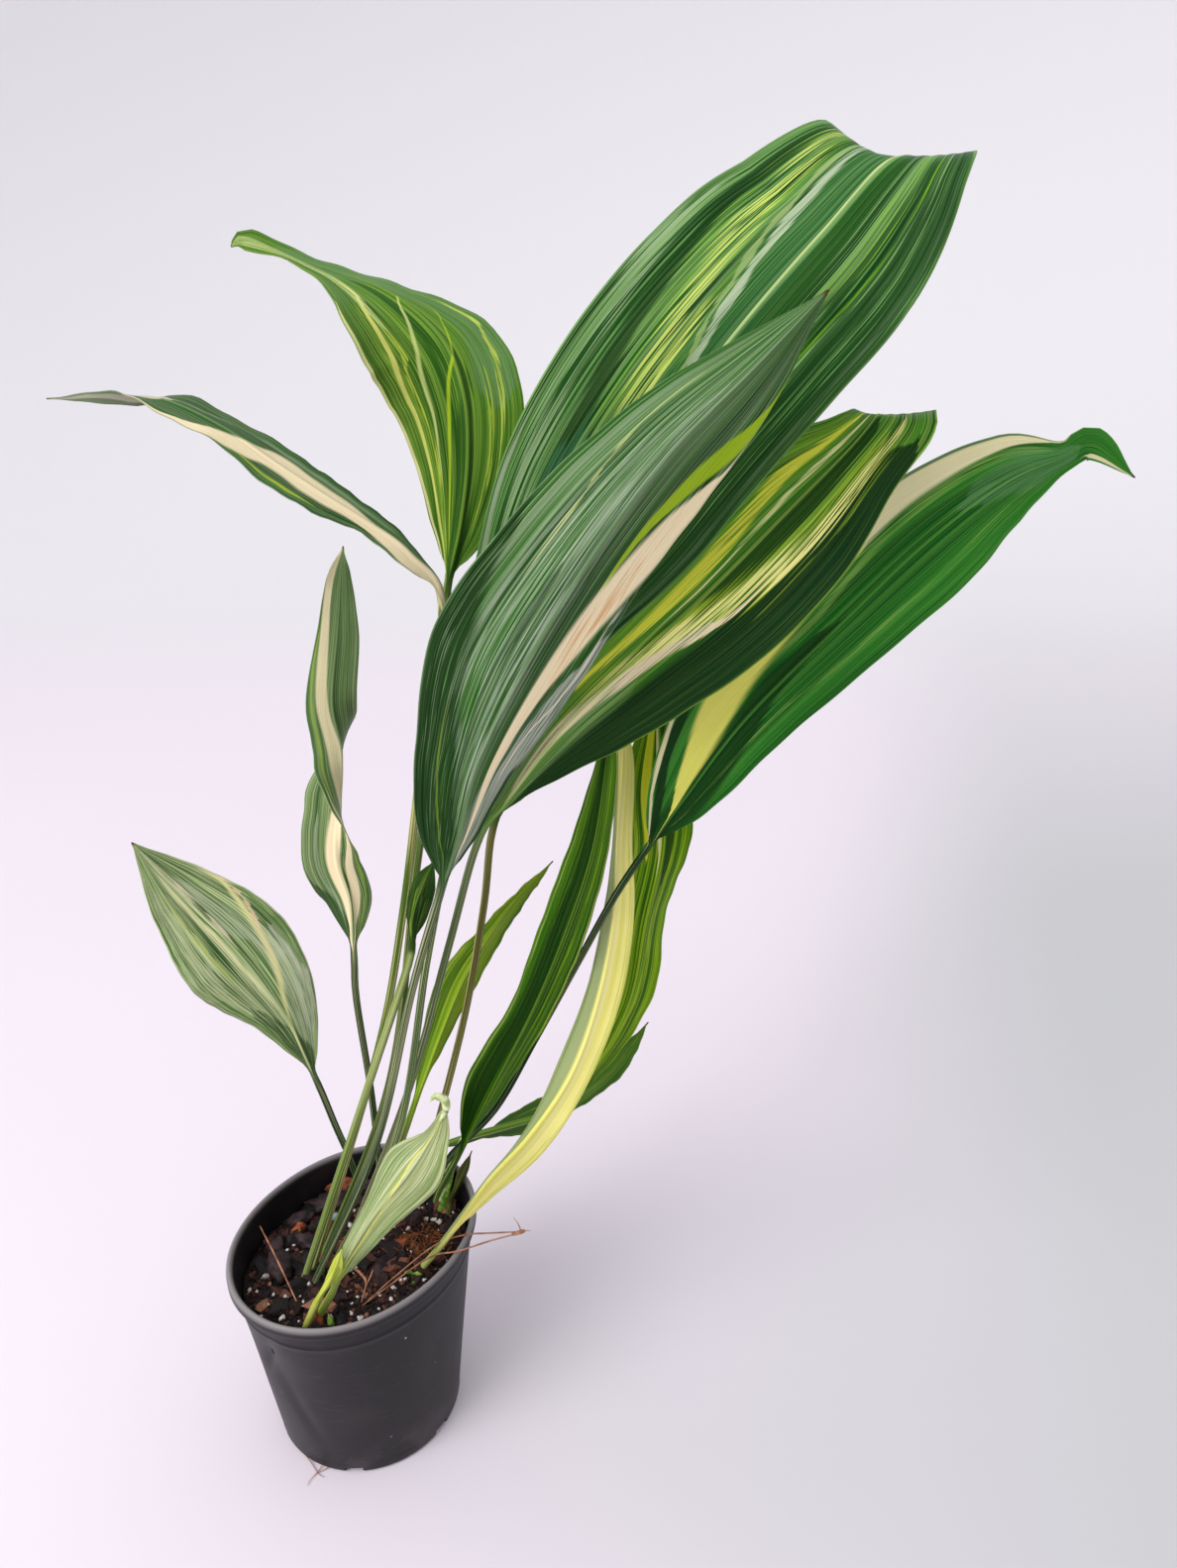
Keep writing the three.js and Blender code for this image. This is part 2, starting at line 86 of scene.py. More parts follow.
class Nodes:
    """A node tree with short calls that add a node, set it and join its inputs."""

    def __init__(self, tree):
        self.tree = tree

    def put(self, socket, value):
        if isinstance(value, bpy.types.NodeSocket):
            self.tree.links.new(value, socket)
        else:
            socket.default_value = value

    def add(self, kind, inputs=None, **settings):
        node = self.tree.nodes.new(kind)
        for name, value in settings.items():
            setattr(node, name, value)
        for socket, value in (inputs or {}).items():
            self.put(node.inputs[socket], value)
        return node

    def maths(self, operation, first, second=0.0, third=0.0):
        values = {0: first, 1: second, 2: third}
        return self.add("ShaderNodeMath", values, operation=operation).outputs[0]

    def ease(self, value, start, end, low=0.0, high=1.0):
        """low before start and high after end, with a smooth change between."""
        inputs = {"Value": value, "From Min": start, "From Max": end, "To Min": low, "To Max": high}
        return self.add("ShaderNodeMapRange", inputs, interpolation_type="SMOOTHSTEP").outputs[0]

    def mix(self, factor, first, second, blend="MIX"):
        node = self.add("ShaderNodeMix", data_type="RGBA", blend_type=blend)
        self.put(node.inputs[0], factor)
        self.put(node.inputs[6], first)
        self.put(node.inputs[7], second)
        return node.outputs[2]

    def vectors(self, operation, inputs):
        return self.add("ShaderNodeVectorMath", inputs, operation=operation).outputs[0]

    def noise(self, vector, scale, detail=2.0, roughness=0.5):
        inputs = {"Vector": vector, "Scale": scale, "Detail": detail, "Roughness": roughness}
        return self.add("ShaderNodeTexNoise", inputs).outputs["Fac"]

    def vector(self, x, y, z=0.0):
        return self.add("ShaderNodeCombineXYZ", {0: x, 1: y, 2: z}).outputs[0]

    def bump(self, height, strength, distance):
        inputs = {"Height": height, "Strength": strength, "Distance": distance}
        return self.add("ShaderNodeBump", inputs).outputs[0]

    def dress(self, shader, colour, height, strength, distance):
        """Gives a shader its colour and a relief of the height, in metres."""
        self.put(shader.inputs["Base Color"], colour)
        self.put(shader.inputs["Normal"], self.bump(height, strength, distance))


def new_finish(name, roughness, specular=0.5):
    """A material with a plain shader, and the Nodes to build its look."""
    material = bpy.data.materials.new(name)
    material.use_nodes = True
    nodes = Nodes(material.node_tree)
    shader = material.node_tree.nodes["Principled BSDF"]
    shader.inputs["Roughness"].default_value = roughness
    shader.inputs["Specular IOR Level"].default_value = specular
    return material, nodes, shader


def object_place(nodes):
    return nodes.add("ShaderNodeTexCoord").outputs["Object"]


print("helpers ready")

# %% Lay the paper and hang the lights
FLOOR_DROP = 0.0004
PAPER_FLAT = 2.6
PAPER_BEND = 2.8
PAPER_SIDES = 96
PAPER_BEND_STEPS = 24
PAPER_PINKS = (srgb(224, 215, 224), srgb(220, 214, 221))
PAPER_WHITE = srgb(218, 218, 220)
# Painted shadow: the grey that the paper turns at the right, where the plant's soft shadow falls.
PAINTED_SHADOW_GREY = srgb(189, 191, 192)
# Painted shadow: a soft grey patch on the paper at the pot's right.
POT_SHADOW_GREY = srgb(186, 187, 190)
POT_SHADOW_PLACE = (0.28, 0.03, 0.0)
POT_SHADOW_STRENGTH = 0.5
POT_SHADOW_FADE = (0.38, 0.06)
SHADOW_SLANT = -0.3
SHADOW_FROM_LEFT = (0.12, 0.62)
SHADOW_FROM_FAR = (0.16, 0.62)
SHADOW_FROM_FRONT = (-1.6, -0.3)
WHITE_FROM_NEAR = (1.2, 3.0)
BEHIND_CAMERA = 0.9
ROOM_WHITE = srgb(242, 240, 245)
ROOM_STRENGTH = 1.04
WINDOW_ANGLE = math.radians(38)


def paper_sheet():
    """A wide round sheet that lies flat and turns up far away, so that the photo's view has no edge."""
    profile = [(0.6, 0.0), (1.4, 0.0), (PAPER_FLAT, 0.0)]
    for k in range(1, PAPER_BEND_STEPS + 1):
        angle = math.pi / 2 * k / PAPER_BEND_STEPS
        profile.append((PAPER_FLAT + PAPER_BEND * math.sin(angle), PAPER_BEND * (1 - math.cos(angle))))
    points = [(0.0, 0.0, -FLOOR_DROP)]
    faces = []
    for i, (radius, height) in enumerate(profile):
        for j in range(PAPER_SIDES):
            angle = 2 * math.pi * j / PAPER_SIDES
            points.append((radius * math.cos(angle), radius * math.sin(angle), height - FLOOR_DROP))
            here = 1 + i * PAPER_SIDES + j
            beside = 1 + i * PAPER_SIDES + (j + 1) % PAPER_SIDES
            if i == 0:
                faces.append((0, here, beside))
            else:
                faces.append((here - PAPER_SIDES, here, beside, beside - PAPER_SIDES))
    mesh = bpy.data.meshes.new("floor")
    mesh.from_pydata(points, [], faces)
    mesh.shade_smooth()
    return mesh


def paper_finish():
    """Pink paper that turns white far off, with painted shadow: grey at the right and a grey patch
    beside the pot.
    """
    material, nodes, shader = new_finish("floor_paper", 0.8, 0.15)
    place = object_place(nodes)
    split = nodes.add("ShaderNodeSeparateXYZ", {0: place})
    x, y = split.outputs[0], split.outputs[1]
    pink = nodes.mix(nodes.noise(place, 1.3, 3.0), *PAPER_PINKS)
    white = nodes.mix(nodes.ease(y, *WHITE_FROM_NEAR), pink, PAPER_WHITE)
    # One over the distance falls evenly up the picture, so the painted shadow has no edge far off.
    distance = nodes.maths("MAXIMUM", nodes.maths("ADD", y, BEHIND_CAMERA), 0.2)
    near = nodes.ease(nodes.maths("DIVIDE", 1.0, distance), *SHADOW_FROM_FAR)
    ahead = nodes.maths("MULTIPLY", near, nodes.ease(y, *SHADOW_FROM_FRONT))
    # Painted shadow of the plant: the paper turns grey towards the right, and the grey fades far off.
    right = nodes.ease(nodes.maths("MULTIPLY_ADD", y, SHADOW_SLANT, x), *SHADOW_FROM_LEFT)
    shadowed_paper = nodes.mix(nodes.maths("MULTIPLY", right, ahead), white, PAINTED_SHADOW_GREY)
    # Painted shadow of the pot: a soft grey patch on the paper at its right.
    from_pot_shadow = nodes.add("ShaderNodeVectorMath", {0: place, 1: POT_SHADOW_PLACE}, operation="DISTANCE")
    pot_shadow = nodes.ease(from_pot_shadow.outputs["Value"], *POT_SHADOW_FADE, high=POT_SHADOW_STRENGTH)
    nodes.put(shader.inputs["Base Color"], nodes.mix(pot_shadow, shadowed_paper, POT_SHADOW_GREY))
    return material


floor = bpy.data.objects.new("floor", paper_sheet())
bpy.context.scene.collection.objects.link(floor)
floor.data.materials.append(paper_finish())

world = bpy.data.worlds.new("room")
world.use_nodes = True
world.node_tree.nodes["Background"].inputs["Color"].default_value = ROOM_WHITE
world.node_tree.nodes["Background"].inputs["Strength"].default_value = ROOM_STRENGTH
bpy.context.scene.world = world


def lamp(name, kind, place, aim, energy, size, colour):
    """A sun, whose size is an angle, or a square lamp, whose size is in metres."""
    data = bpy.data.lights.new(name, kind)
    data.energy = energy
    data.color = colour
    if kind == "SUN":
        data.angle = size
    else:
        data.size = size
    light = bpy.data.objects.new(name, data)
    light.location = place
    light.rotation_euler = (Vector(aim) - Vector(place)).to_track_quat("-Z", "Y").to_euler()
    bpy.context.scene.collection.objects.link(light)


lamp(
    "window", "SUN", place=(-0.9, -1.0, 1.9), aim=(0.1, 0.0, 0.3),
    energy=1.15, size=WINDOW_ANGLE, colour=(1.0, 0.99, 0.97),
)
lamp(
    "softbox", "AREA", place=(-1.3, -1.2, 1.5), aim=(0.0, 0.1, 0.3),
    energy=18.0, size=1.0, colour=(1.0, 0.98, 1.0),
)

# %% [markdown]
# ## How a piece becomes part of the plant
#
# Each piece is a plain mesh at the origin, with its place in its points. It rides on the plant's one
# body, stands in for the solid that it refines, and names the finish it takes after. One helper does
# this, so no piece is forgotten.


# %% Make and seat a piece
def piece_from(name, points, faces, material, stands_for=()):
    """A piece made from points in metres and faces."""
    mesh = bpy.data.meshes.new(name)
    mesh.from_pydata([tuple(p) for p in points], [], faces)
    mesh.update()
    return seat(name, mesh, material, stands_for)


def seat(name, mesh, material, stands_for=(), smooth=True):
    """A piece made from a mesh, seated on the plant."""
    mesh.name = name
    if smooth:
        mesh.shade_smooth()
    else:
        mesh.shade_flat()
    mesh.materials.clear()
    mesh.materials.append(material)
    piece = bpy.data.objects.new(name, mesh)
    bpy.context.scene.collection.objects.link(piece)
    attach(piece, "root")
    if stands_for:
        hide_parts(*stands_for)
    return piece


def loft_faces(rings, count):
    """Quads between rings of count points, with a fan of one face over each end."""
    faces = []
    for i in range(rings - 1):
        for j in range(count):
            k = (j + 1) % count
            faces.append((i * count + j, i * count + k, (i + 1) * count + k, (i + 1) * count + j))
    faces.append(tuple(reversed(range(count))))
    faces.append(tuple(range((rings - 1) * count, rings * count)))
    return faces


print("a piece is seated by one call")

# %% [markdown]
# ## The pot
#
# The pot is a thin moulded nursery pot, so it is one closed profile turned about an axis: up the
# outside, over the rolled lip and down the inside. It isn't quite round. The mouth is pressed into an
# oval and the front left is dented, so each point's radius changes with its angle and height, by the
# same rule as the solid's. The drain notches are cut with a boolean after that.

# %% Pot sizes
POT_HEIGHT = 155
BASE_RADIUS = 64
BODY_TOP_RADIUS = 79.2
LIP_RADIUS = 82.5
LIP_HEIGHT = 9
POT_WALL = 1.5
POT_FLOOR = 2
POT_SIDES = 288
MOUTH_STRETCH = 0.085
STRETCH_HEADING = 55
DENT = {"heading": 236, "height": 96, "depth": 3, "degrees": 16, "tall": 26}
CREASES = [
    {"heading": 231, "height": 104, "depth": 2.8, "degrees": 3.8, "tall": 22, "lean": 0.34},
    {"heading": 246, "height": 62, "depth": 1.1, "degrees": 5, "tall": 26, "lean": -0.25},
    {"heading": 322, "height": 80, "depth": 0.5, "degrees": 10, "tall": 40, "lean": 0.0},
]
DRAIN_NOTCHES = 6
NOTCH = {"width": 12, "height": 5, "depth": 14}


def wrap(degrees):
    """An angle's difference, brought to between -180 and 180."""
    return (degrees + 180) % 360 - 180


def pot_point(radius, height, angle):
    """A point of the wall, moved by the oval mouth, the dent and its creases."""
    from_long_side = angle - math.radians(STRETCH_HEADING)
    stretch = 1 + MOUTH_STRETCH * height / POT_HEIGHT * math.cos(2 * from_long_side)
    sideways = wrap(math.degrees(angle) - DENT["heading"]) / DENT["degrees"]
    upwards = (height - DENT["height"]) / DENT["tall"]
    inwards = DENT["depth"] * math.exp(-(sideways**2) - upwards**2) * radius / BODY_TOP_RADIUS
    for crease in CREASES:
        rise = height - crease["height"]
        aside = wrap(math.degrees(angle) - crease["heading"] - crease["lean"] * rise) / crease["degrees"]
        inwards += crease["depth"] * math.exp(-(aside**2) - (rise / crease["tall"]) ** 2)
    reach = radius * stretch - inwards
    return (reach * math.cos(angle) * MM, reach * math.sin(angle) * MM, height * MM)


def body_radius(height):
    """Outer radius of the tapered wall, before the oval and the dents."""
    return BASE_RADIUS + (BODY_TOP_RADIUS - BASE_RADIUS) * height / (POT_HEIGHT - LIP_HEIGHT)


print("body radius at half height:", round(body_radius(POT_HEIGHT / 2), 1), "mm")

# %% Turn the pot's profile
LINE_HEIGHT = 133
INNER_HEIGHTS = (148, 143, 138, 132, 122, 110, 96, 84, 72, 60, 45, 30, 15, 5)


def pot_profile():
    """Radius and height from the middle of the foot, up outside and down inside."""
    under = POT_HEIGHT - LIP_HEIGHT
    rows = [(4, 1.2), (30, 1.2), (33, 0.4), (50, 0.4), (54, 0)]
    rows += [(BASE_RADIUS - 2.5, 0), (BASE_RADIUS - 0.8, 0.4)]
    rows += [(body_radius(1.5), 1.5), (body_radius(1.5) + 0.35, 2.5), (body_radius(7), 7.5)]
    rows += [(body_radius(h), h) for h in np.arange(12, LINE_HEIGHT - 3, 4.0)]
    for rise, out in ((-1.4, 0), (-0.7, 0.35), (0, 0.5), (0.7, 0.35), (1.4, 0)):
        rows.append((body_radius(LINE_HEIGHT + rise) + out, LINE_HEIGHT + rise))
    rows += [(body_radius(h), h) for h in (137, 140, 143, under - 0.8)]
    rows += [(body_radius(under) + 0.3, under - 0.2)]
    rows += [(LIP_RADIUS - 1.2, under), (LIP_RADIUS - 0.5, under + 0.5)]
    rows += [(LIP_RADIUS, under + 1.6), (LIP_RADIUS, under + 3.6), (LIP_RADIUS, POT_HEIGHT - 3.0)]
    rows += [(LIP_RADIUS - 0.25, POT_HEIGHT - 1.6), (LIP_RADIUS - 0.9, POT_HEIGHT - 0.55)]
    rows += [(LIP_RADIUS - 1.7, POT_HEIGHT), (LIP_RADIUS - 2.4, POT_HEIGHT - 0.15)]
    rows += [(LIP_RADIUS - 3.2, POT_HEIGHT - 0.9), (LIP_RADIUS - 3.9, POT_HEIGHT - 2.4)]
    rows += [(body_radius(h) - POT_WALL, h) for h in INNER_HEIGHTS]
    rows += [(body_radius(2) - POT_WALL - 2, POT_FLOOR), (40, POT_FLOOR), (4, POT_FLOOR)]
    return rows


profile = pot_profile()
points = []
for radius, height in profile:
    for j in range(POT_SIDES):
        points.append(pot_point(radius, height, 2 * math.pi * j / POT_SIDES))
print("profile rows:", len(profile), "points:", len(points))

# %% [markdown]
# The plastic is dull black, so what shows on it is light: a broad soft sheen, finely pebbled skin,
# thin scuffs that run round the wall, pale dust that gathers low down and a painted highlight on the
# lip.
# All of it is read from the object's own coordinates, in metres.


# %% Mix the pot's plastic
BLACK_PLASTIC = (srgb(17, 15, 18), srgb(28, 26, 30))
DUST = srgb(96, 90, 90)
SCUFF = srgb(84, 84, 88)
# Painted highlight: the light grey of the lip's top.
LIP_HIGHLIGHT_GREY = srgb(142, 138, 138)
WHITE_SPECK = srgb(220, 216, 214)
CLOUD_SCALE = 26.0
PEBBLE_SCALE = 900.0
SCUFF_SCALE = (60.0, 60.0, 900.0)
SCUFF_EDGE = (0.63, 0.75)
DUST_TOP = 0.045
LIP_SHINE = (0.1500, 0.1548)
SPECK_SCALE = 70.0
SPECK_EDGE = (0.06, 0.03)
SPECK_CHOICE = (0.86, 0.88)


def plastic_finish():
    """Dull black plastic with dust, scuffs, a few white specks and a painted highlight along the lip."""
    material, nodes, shader = new_finish("pot_plastic", 0.42, 0.28)
    place = object_place(nodes)
    split = nodes.add("ShaderNodeSeparateXYZ", {0: place})
    cloud = nodes.noise(place, CLOUD_SCALE, 4.0, 0.6)
    pebble = nodes.noise(place, PEBBLE_SCALE, 2.0)
    drawn_out = nodes.add("ShaderNodeMapping", {"Vector": place, "Scale": SCUFF_SCALE}).outputs[0]
    scuff = nodes.ease(nodes.noise(drawn_out, 1.0, 3.0), *SCUFF_EDGE)
    low = nodes.ease(split.outputs[2], 0.0, DUST_TOP, 1.0, 0.0)
    dust = nodes.maths("MULTIPLY", nodes.ease(cloud, 0.45, 0.75), nodes.maths("ADD", 0.3, low))
    plain = nodes.mix(cloud, *BLACK_PLASTIC)
    dusty = nodes.mix(nodes.maths("MULTIPLY", dust, 0.3), plain, DUST)
    worn = nodes.mix(nodes.maths("MULTIPLY", scuff, 0.25), dusty, SCUFF)
    # Painted highlight: the top of the lip is mixed toward light grey.
    lip_highlight = nodes.ease(split.outputs[2], *LIP_SHINE, high=0.8)
    highlighted_lip = nodes.mix(lip_highlight, worn, LIP_HIGHLIGHT_GREY)
    specks = nodes.add("ShaderNodeTexVoronoi", {"Vector": place, "Scale": SPECK_SCALE})
    cell = nodes.add("ShaderNodeSeparateColor", {0: specks.outputs["Color"]}).outputs[0]
    chosen = nodes.ease(cell, *SPECK_CHOICE)
    dot = nodes.maths("MULTIPLY", nodes.ease(specks.outputs["Distance"], *SPECK_EDGE), chosen)
    nodes.put(shader.inputs["Roughness"], nodes.maths("ADD", 0.36, nodes.maths("MULTIPLY", cloud, 0.2)))
    height = nodes.maths("ADD", pebble, nodes.maths("MULTIPLY", scuff, -1.5))
    nodes.dress(shader, nodes.mix(dot, highlighted_lip, WHITE_SPECK), height, 0.25, 0.0002)
    return material


pot_plastic = plastic_finish()
pot = piece_from("pot_wall", points, loft_faces(len(profile), POT_SIDES), pot_plastic, ["pot"])
print("pot faces:", len(pot.data.polygons))


# %% Cut the drain notches
def box_mesh(name, size, centre, angle):
    """A box with its length along the angle."""
    along = Vector((math.cos(angle), math.sin(angle), 0))
    across = Vector((-along.y, along.x, 0))
    corners = []
    for k in (-0.5, 0.5):
        for j in (-0.5, 0.5):
            for i in (-0.5, 0.5):
                corner = along * (centre[0] + i * size[0]) + across * (j * size[1])
                corners.append((corner.x, corner.y, centre[1] + k * size[2]))
    faces = [(0, 2, 3, 1), (4, 5, 7, 6), (0, 1, 5, 4), (2, 6, 7, 3), (0, 4, 6, 2), (1, 3, 7, 5)]
    mesh = bpy.data.meshes.new(name)
    mesh.from_pydata(corners, [], faces)
    tool = bpy.data.objects.new(name, mesh)
    bpy.context.scene.collection.objects.link(tool)
    return tool


def cut(piece, tools):
    """Takes the tools out of the piece with a boolean, and removes them."""
    for tool in tools:
        modifier = piece.modifiers.new("notch", "BOOLEAN")
        modifier.operation = "DIFFERENCE"
        modifier.solver = "EXACT"
        modifier.object = tool
    evaluated = piece.evaluated_get(bpy.context.evaluated_depsgraph_get())
    mesh = bpy.data.meshes.new_from_object(evaluated)
    piece.modifiers.clear()
    piece.data = mesh
    for tool in tools:
        bpy.data.objects.remove(tool)


notch_size = (NOTCH["depth"] * MM, NOTCH["width"] * MM, 2 * NOTCH["height"] * MM)
notch_tools = []
for k in range(DRAIN_NOTCHES):
    angle = 2 * math.pi * (k + 0.5) / DRAIN_NOTCHES
    notch_tools.append(box_mesh(f"notch_{k}", notch_size, (BASE_RADIUS * MM, 0), angle))
cut(pot, notch_tools)
print("pot faces after the cuts:", len(pot.data.polygons))

# %% [markdown]
# ## The bed of potting mix
#
# The mix fills the pot to a little below its lip. Its body is one closed form, as in the solid, but
# its top is a fine polar grid that noise lifts into crumbs and hollows. What lies on it, bark chips,
# crumbs and white perlite, repeats hundreds of times, so Geometry Nodes scatter it on that grid.

# %% Shape the bed
SOIL_HEIGHT = 130
CRUMB = {"size": 9, "lift": 1.6, "place": 3.0}
GRAIN = {"size": 3.2, "lift": 0.8, "place": 7.0}
SOIL_GAP = POT_WALL + 0.35
BED_SIDES = 180
BED_RINGS = 56
BED_SIDE_HEIGHTS = (2.4, 60, 96, 122)


def soil_height(x, y):
    """Height of the bed at x, y, in mm: a slope and lumps, as in the solid."""
    lumps = 1.1 * math.sin(x / 8 + 0.6) * math.cos(y / 7) + 0.8 * math.sin(x / 13 - y / 11)
    return SOIL_HEIGHT + 0.03 * x - 0.035 * y + lumps


def crumbled(x, y):
    """The same height, roughened by crumbs of 3 to 12 mm."""
    height = soil_height(x, y)
    for bit in (CRUMB, GRAIN):
        height += bit["lift"] * noise.noise(Vector((x / bit["size"], y / bit["size"], bit["place"])))
    return height


def bed_mesh():
    """Points, faces and each point's share of the way out from the bed's middle."""
    edge = body_radius(SOIL_HEIGHT - 8) - SOIL_GAP
    points = []
    for height in BED_SIDE_HEIGHTS:
        for j in range(BED_SIDES):
            points.append(pot_point(body_radius(height) - SOIL_GAP, height, 2 * math.pi * j / BED_SIDES))
    outward = [1.0] * len(points)
    for i in range(BED_RINGS):
        share = 1 - i / BED_RINGS
        for j in range(BED_SIDES):
            x, y, _ = pot_point(edge * share, SOIL_HEIGHT, 2 * math.pi * j / BED_SIDES)
            points.append((x, y, crumbled(x / MM, y / MM) * MM))
            outward.append(share)
    return points, loft_faces(len(BED_SIDE_HEIGHTS) + BED_RINGS, BED_SIDES), outward


bed_points, bed_faces, bed_outward = bed_mesh()
print("bed points:", len(bed_points))


# %% [markdown]
# Bark mix is dark and moist, and no two crumbs have the same brown. The bed takes large and small noise
# for its colour and its bump. The scattered bits carry a number each, called shade, and their finish
# turns that number into near black, red brown or a dry tan.


# %% Mix the finishes of the bed
MOIST = (srgb(14, 10, 9), srgb(32, 22, 17))
DRY_GRAIN = srgb(64, 42, 30)
PATCH_EDGE = (0.35, 0.65)
GRAIN_SHADE = (0.35, 0.3, 0.27, 1.0)


def bed_finish():
    """Moist dark mix in soft patches, with grains that have dried."""
    material, nodes, shader = new_finish("potting_mix", 0.85, 0.3)
    place = object_place(nodes)
    grain = nodes.noise(place, 420.0, 4.0, 0.7)
    patch = nodes.noise(place, 60.0, 3.0)
    dark = nodes.mix(nodes.ease(patch, *PATCH_EDGE), *MOIST)
    colour = nodes.mix(nodes.ease(grain, 0.5, 0.75), dark, DRY_GRAIN)
    nodes.dress(shader, colour, grain, 0.9, 0.0012)
    return material


def shaded_finish(name, stops, roughness, grain_scale, grain_depth, specular=0.3):
    """A finish that picks its colour by each bit's own shade, with grain over it."""
    material, nodes, shader = new_finish(name, roughness, specular)
    shade = nodes.add("ShaderNodeAttribute", attribute_name="shade").outputs["Fac"]
    ramp = nodes.add("ShaderNodeValToRGB", {"Fac": shade})
    while len(ramp.color_ramp.elements) < len(stops):
        ramp.color_ramp.elements.new(1.0)
    for element, (position, colour) in zip(ramp.color_ramp.elements, stops):
        element.position = position
        element.color = colour
    grain = nodes.noise(object_place(nodes), grain_scale, 3.0, 0.65)
    darker = nodes.mix(nodes.ease(grain, 0.35, 0.7), ramp.outputs[0], GRAIN_SHADE, "MULTIPLY")
    nodes.dress(shader, nodes.mix(0.6, ramp.outputs[0], darker), grain, 0.7, grain_depth)
    return material


BARK_STOPS = [
    (0.0, srgb(12, 8, 9)),
    (0.5, srgb(34, 21, 19)),
    (0.76, srgb(74, 41, 32)),
    (0.93, srgb(124, 74, 54)),
    (1.0, srgb(164, 120, 92)),
]
PERLITE_STOPS = [(0.0, srgb(205, 198, 190)), (1.0, srgb(250, 248, 244))]
potting_mix = bed_finish()
bark = shaded_finish("bark", BARK_STOPS, 0.7, 700.0, 0.0005)
perlite = shaded_finish("perlite", PERLITE_STOPS, 0.9, 900.0, 0.0004)
bed = piece_from("soil_bed", bed_points, bed_faces, potting_mix, ["soil"])
bed.data.attributes.new("outward", "FLOAT", "POINT").data.foreach_set("value", bed_outward)
print("bed faces:", len(bed.data.polygons))

# %% [markdown]
# ### Scatter nodes
#
# One tree serves chips, crumbs and perlite. It makes four rough lumps from a small ball that noise
# tears, spreads points over the top of the bed, and sets a flattened lump on each with its own turn and
# size. The shade is stored on the instances before they are made real.


# %% Build the scatter tree
SCATTER_INPUTS = [
    ("Density", "NodeSocketFloat", 1.0),
    ("Seed", "NodeSocketInt", 1),
    ("Smallest", "NodeSocketFloat", 0.001),
    ("Largest", "NodeSocketFloat", 0.002),
    ("Flatness", "NodeSocketVector", (1.0, 0.7, 0.4)),
    ("Lift", "NodeSocketFloat", 0.0005),
    ("Reach", "NodeSocketFloat", 0.9),
    ("Finish", "NodeSocketMaterial", None),
]
LUMP_KINDS = 4
LUMP_NOISE = 1.9
LUMP_TEAR = 1.3
SHADE_SEED = 77
RANDOM_SOCKETS = {"FLOAT": (2, 3, 1), "FLOAT_VECTOR": (0, 1, 0), "INT": (4, 5, 2)}


def random_value(nodes, kind, low, high, seed):
    """A random value from low to high; each kind has sockets of its own."""
    first, second, result = RANDOM_SOCKETS[kind]
    inputs = {first: low, second: high, "Seed": seed}
    return nodes.add("FunctionNodeRandomValue", inputs, data_type=kind).outputs[result]


def torn_lump(nodes, kind):
    """A small ball whose points are pushed about by noise, another way for each kind."""
    ball = nodes.add("GeometryNodeMeshIcoSphere", {"Radius": 0.5, "Subdivisions": 2}).outputs[0]
    where = nodes.add("GeometryNodeInputPosition").outputs[0]
    shifted = nodes.vectors("ADD", {0: where, 1: (7.0 * kind, 3.0, 1.0)})
    noise_inputs = {"Vector": shifted, "Scale": LUMP_NOISE, "Detail": 2.0}
    rough = nodes.add("ShaderNodeTexNoise", noise_inputs).outputs["Color"]
    centred = nodes.vectors("SUBTRACT", {0: rough, 1: (0.5, 0.5, 0.5)})
    push = nodes.vectors("SCALE", {0: centred, "Scale": LUMP_TEAR})
    return nodes.add("GeometryNodeSetPosition", {"Geometry": ball, "Offset": push}).outputs[0]


def lumps_on_bed(nodes, given):
    """Lumps on points of the bed's top, each with its own turn, size and shade."""
    lumps = nodes.add("GeometryNodeGeometryToInstance")
    for kind in range(LUMP_KINDS):
        nodes.tree.links.new(torn_lump(nodes, kind), lumps.inputs[0])
    outward = nodes.add("GeometryNodeInputNamedAttribute", {"Name": "outward"}, data_type="FLOAT")
    reached = {0: outward.outputs[0], 1: given["Reach"]}
    top = nodes.add("FunctionNodeCompare", reached, operation="LESS_THAN").outputs[0]
    bed_top = {"Mesh": given["Geometry"], "Selection": top}
    sowing = {"Density": given["Density"], "Seed": given["Seed"]}
    spread = nodes.add("GeometryNodeDistributePointsOnFaces", bed_top | sowing)
    turn = random_value(nodes, "FLOAT_VECTOR", (-0.5, -0.5, 0.0), (0.5, 0.5, 6.283), given["Seed"])
    size = random_value(nodes, "FLOAT", given["Smallest"], given["Largest"], given["Seed"])
    scale = nodes.vectors("SCALE", {0: given["Flatness"], "Scale": size})
    pick = random_value(nodes, "INT", 0, LUMP_KINDS - 1, given["Seed"])
    euler = nodes.add("FunctionNodeEulerToRotation", {0: turn}).outputs[0]
    sown = nodes.add(
        "GeometryNodeInstanceOnPoints",
        {
            "Points": spread.outputs["Points"],
            "Instance": lumps.outputs[0],
            "Pick Instance": True,
            "Instance Index": pick,
            "Rotation": euler,
            "Scale": scale,
        },
    ).outputs[0]
    raised = nodes.add(
        "GeometryNodeTranslateInstances",
        {"Instances": sown, "Translation": nodes.vector(0.0, 0.0, given["Lift"]), "Local Space": False},
    ).outputs[0]
    shade = random_value(nodes, "FLOAT", 0.0, 1.0, SHADE_SEED)
    return nodes.add(
        "GeometryNodeStoreNamedAttribute",
        {"Geometry": raised, "Name": "shade", "Value": shade},
        data_type="FLOAT",
        domain="INSTANCE",
    ).outputs[0]


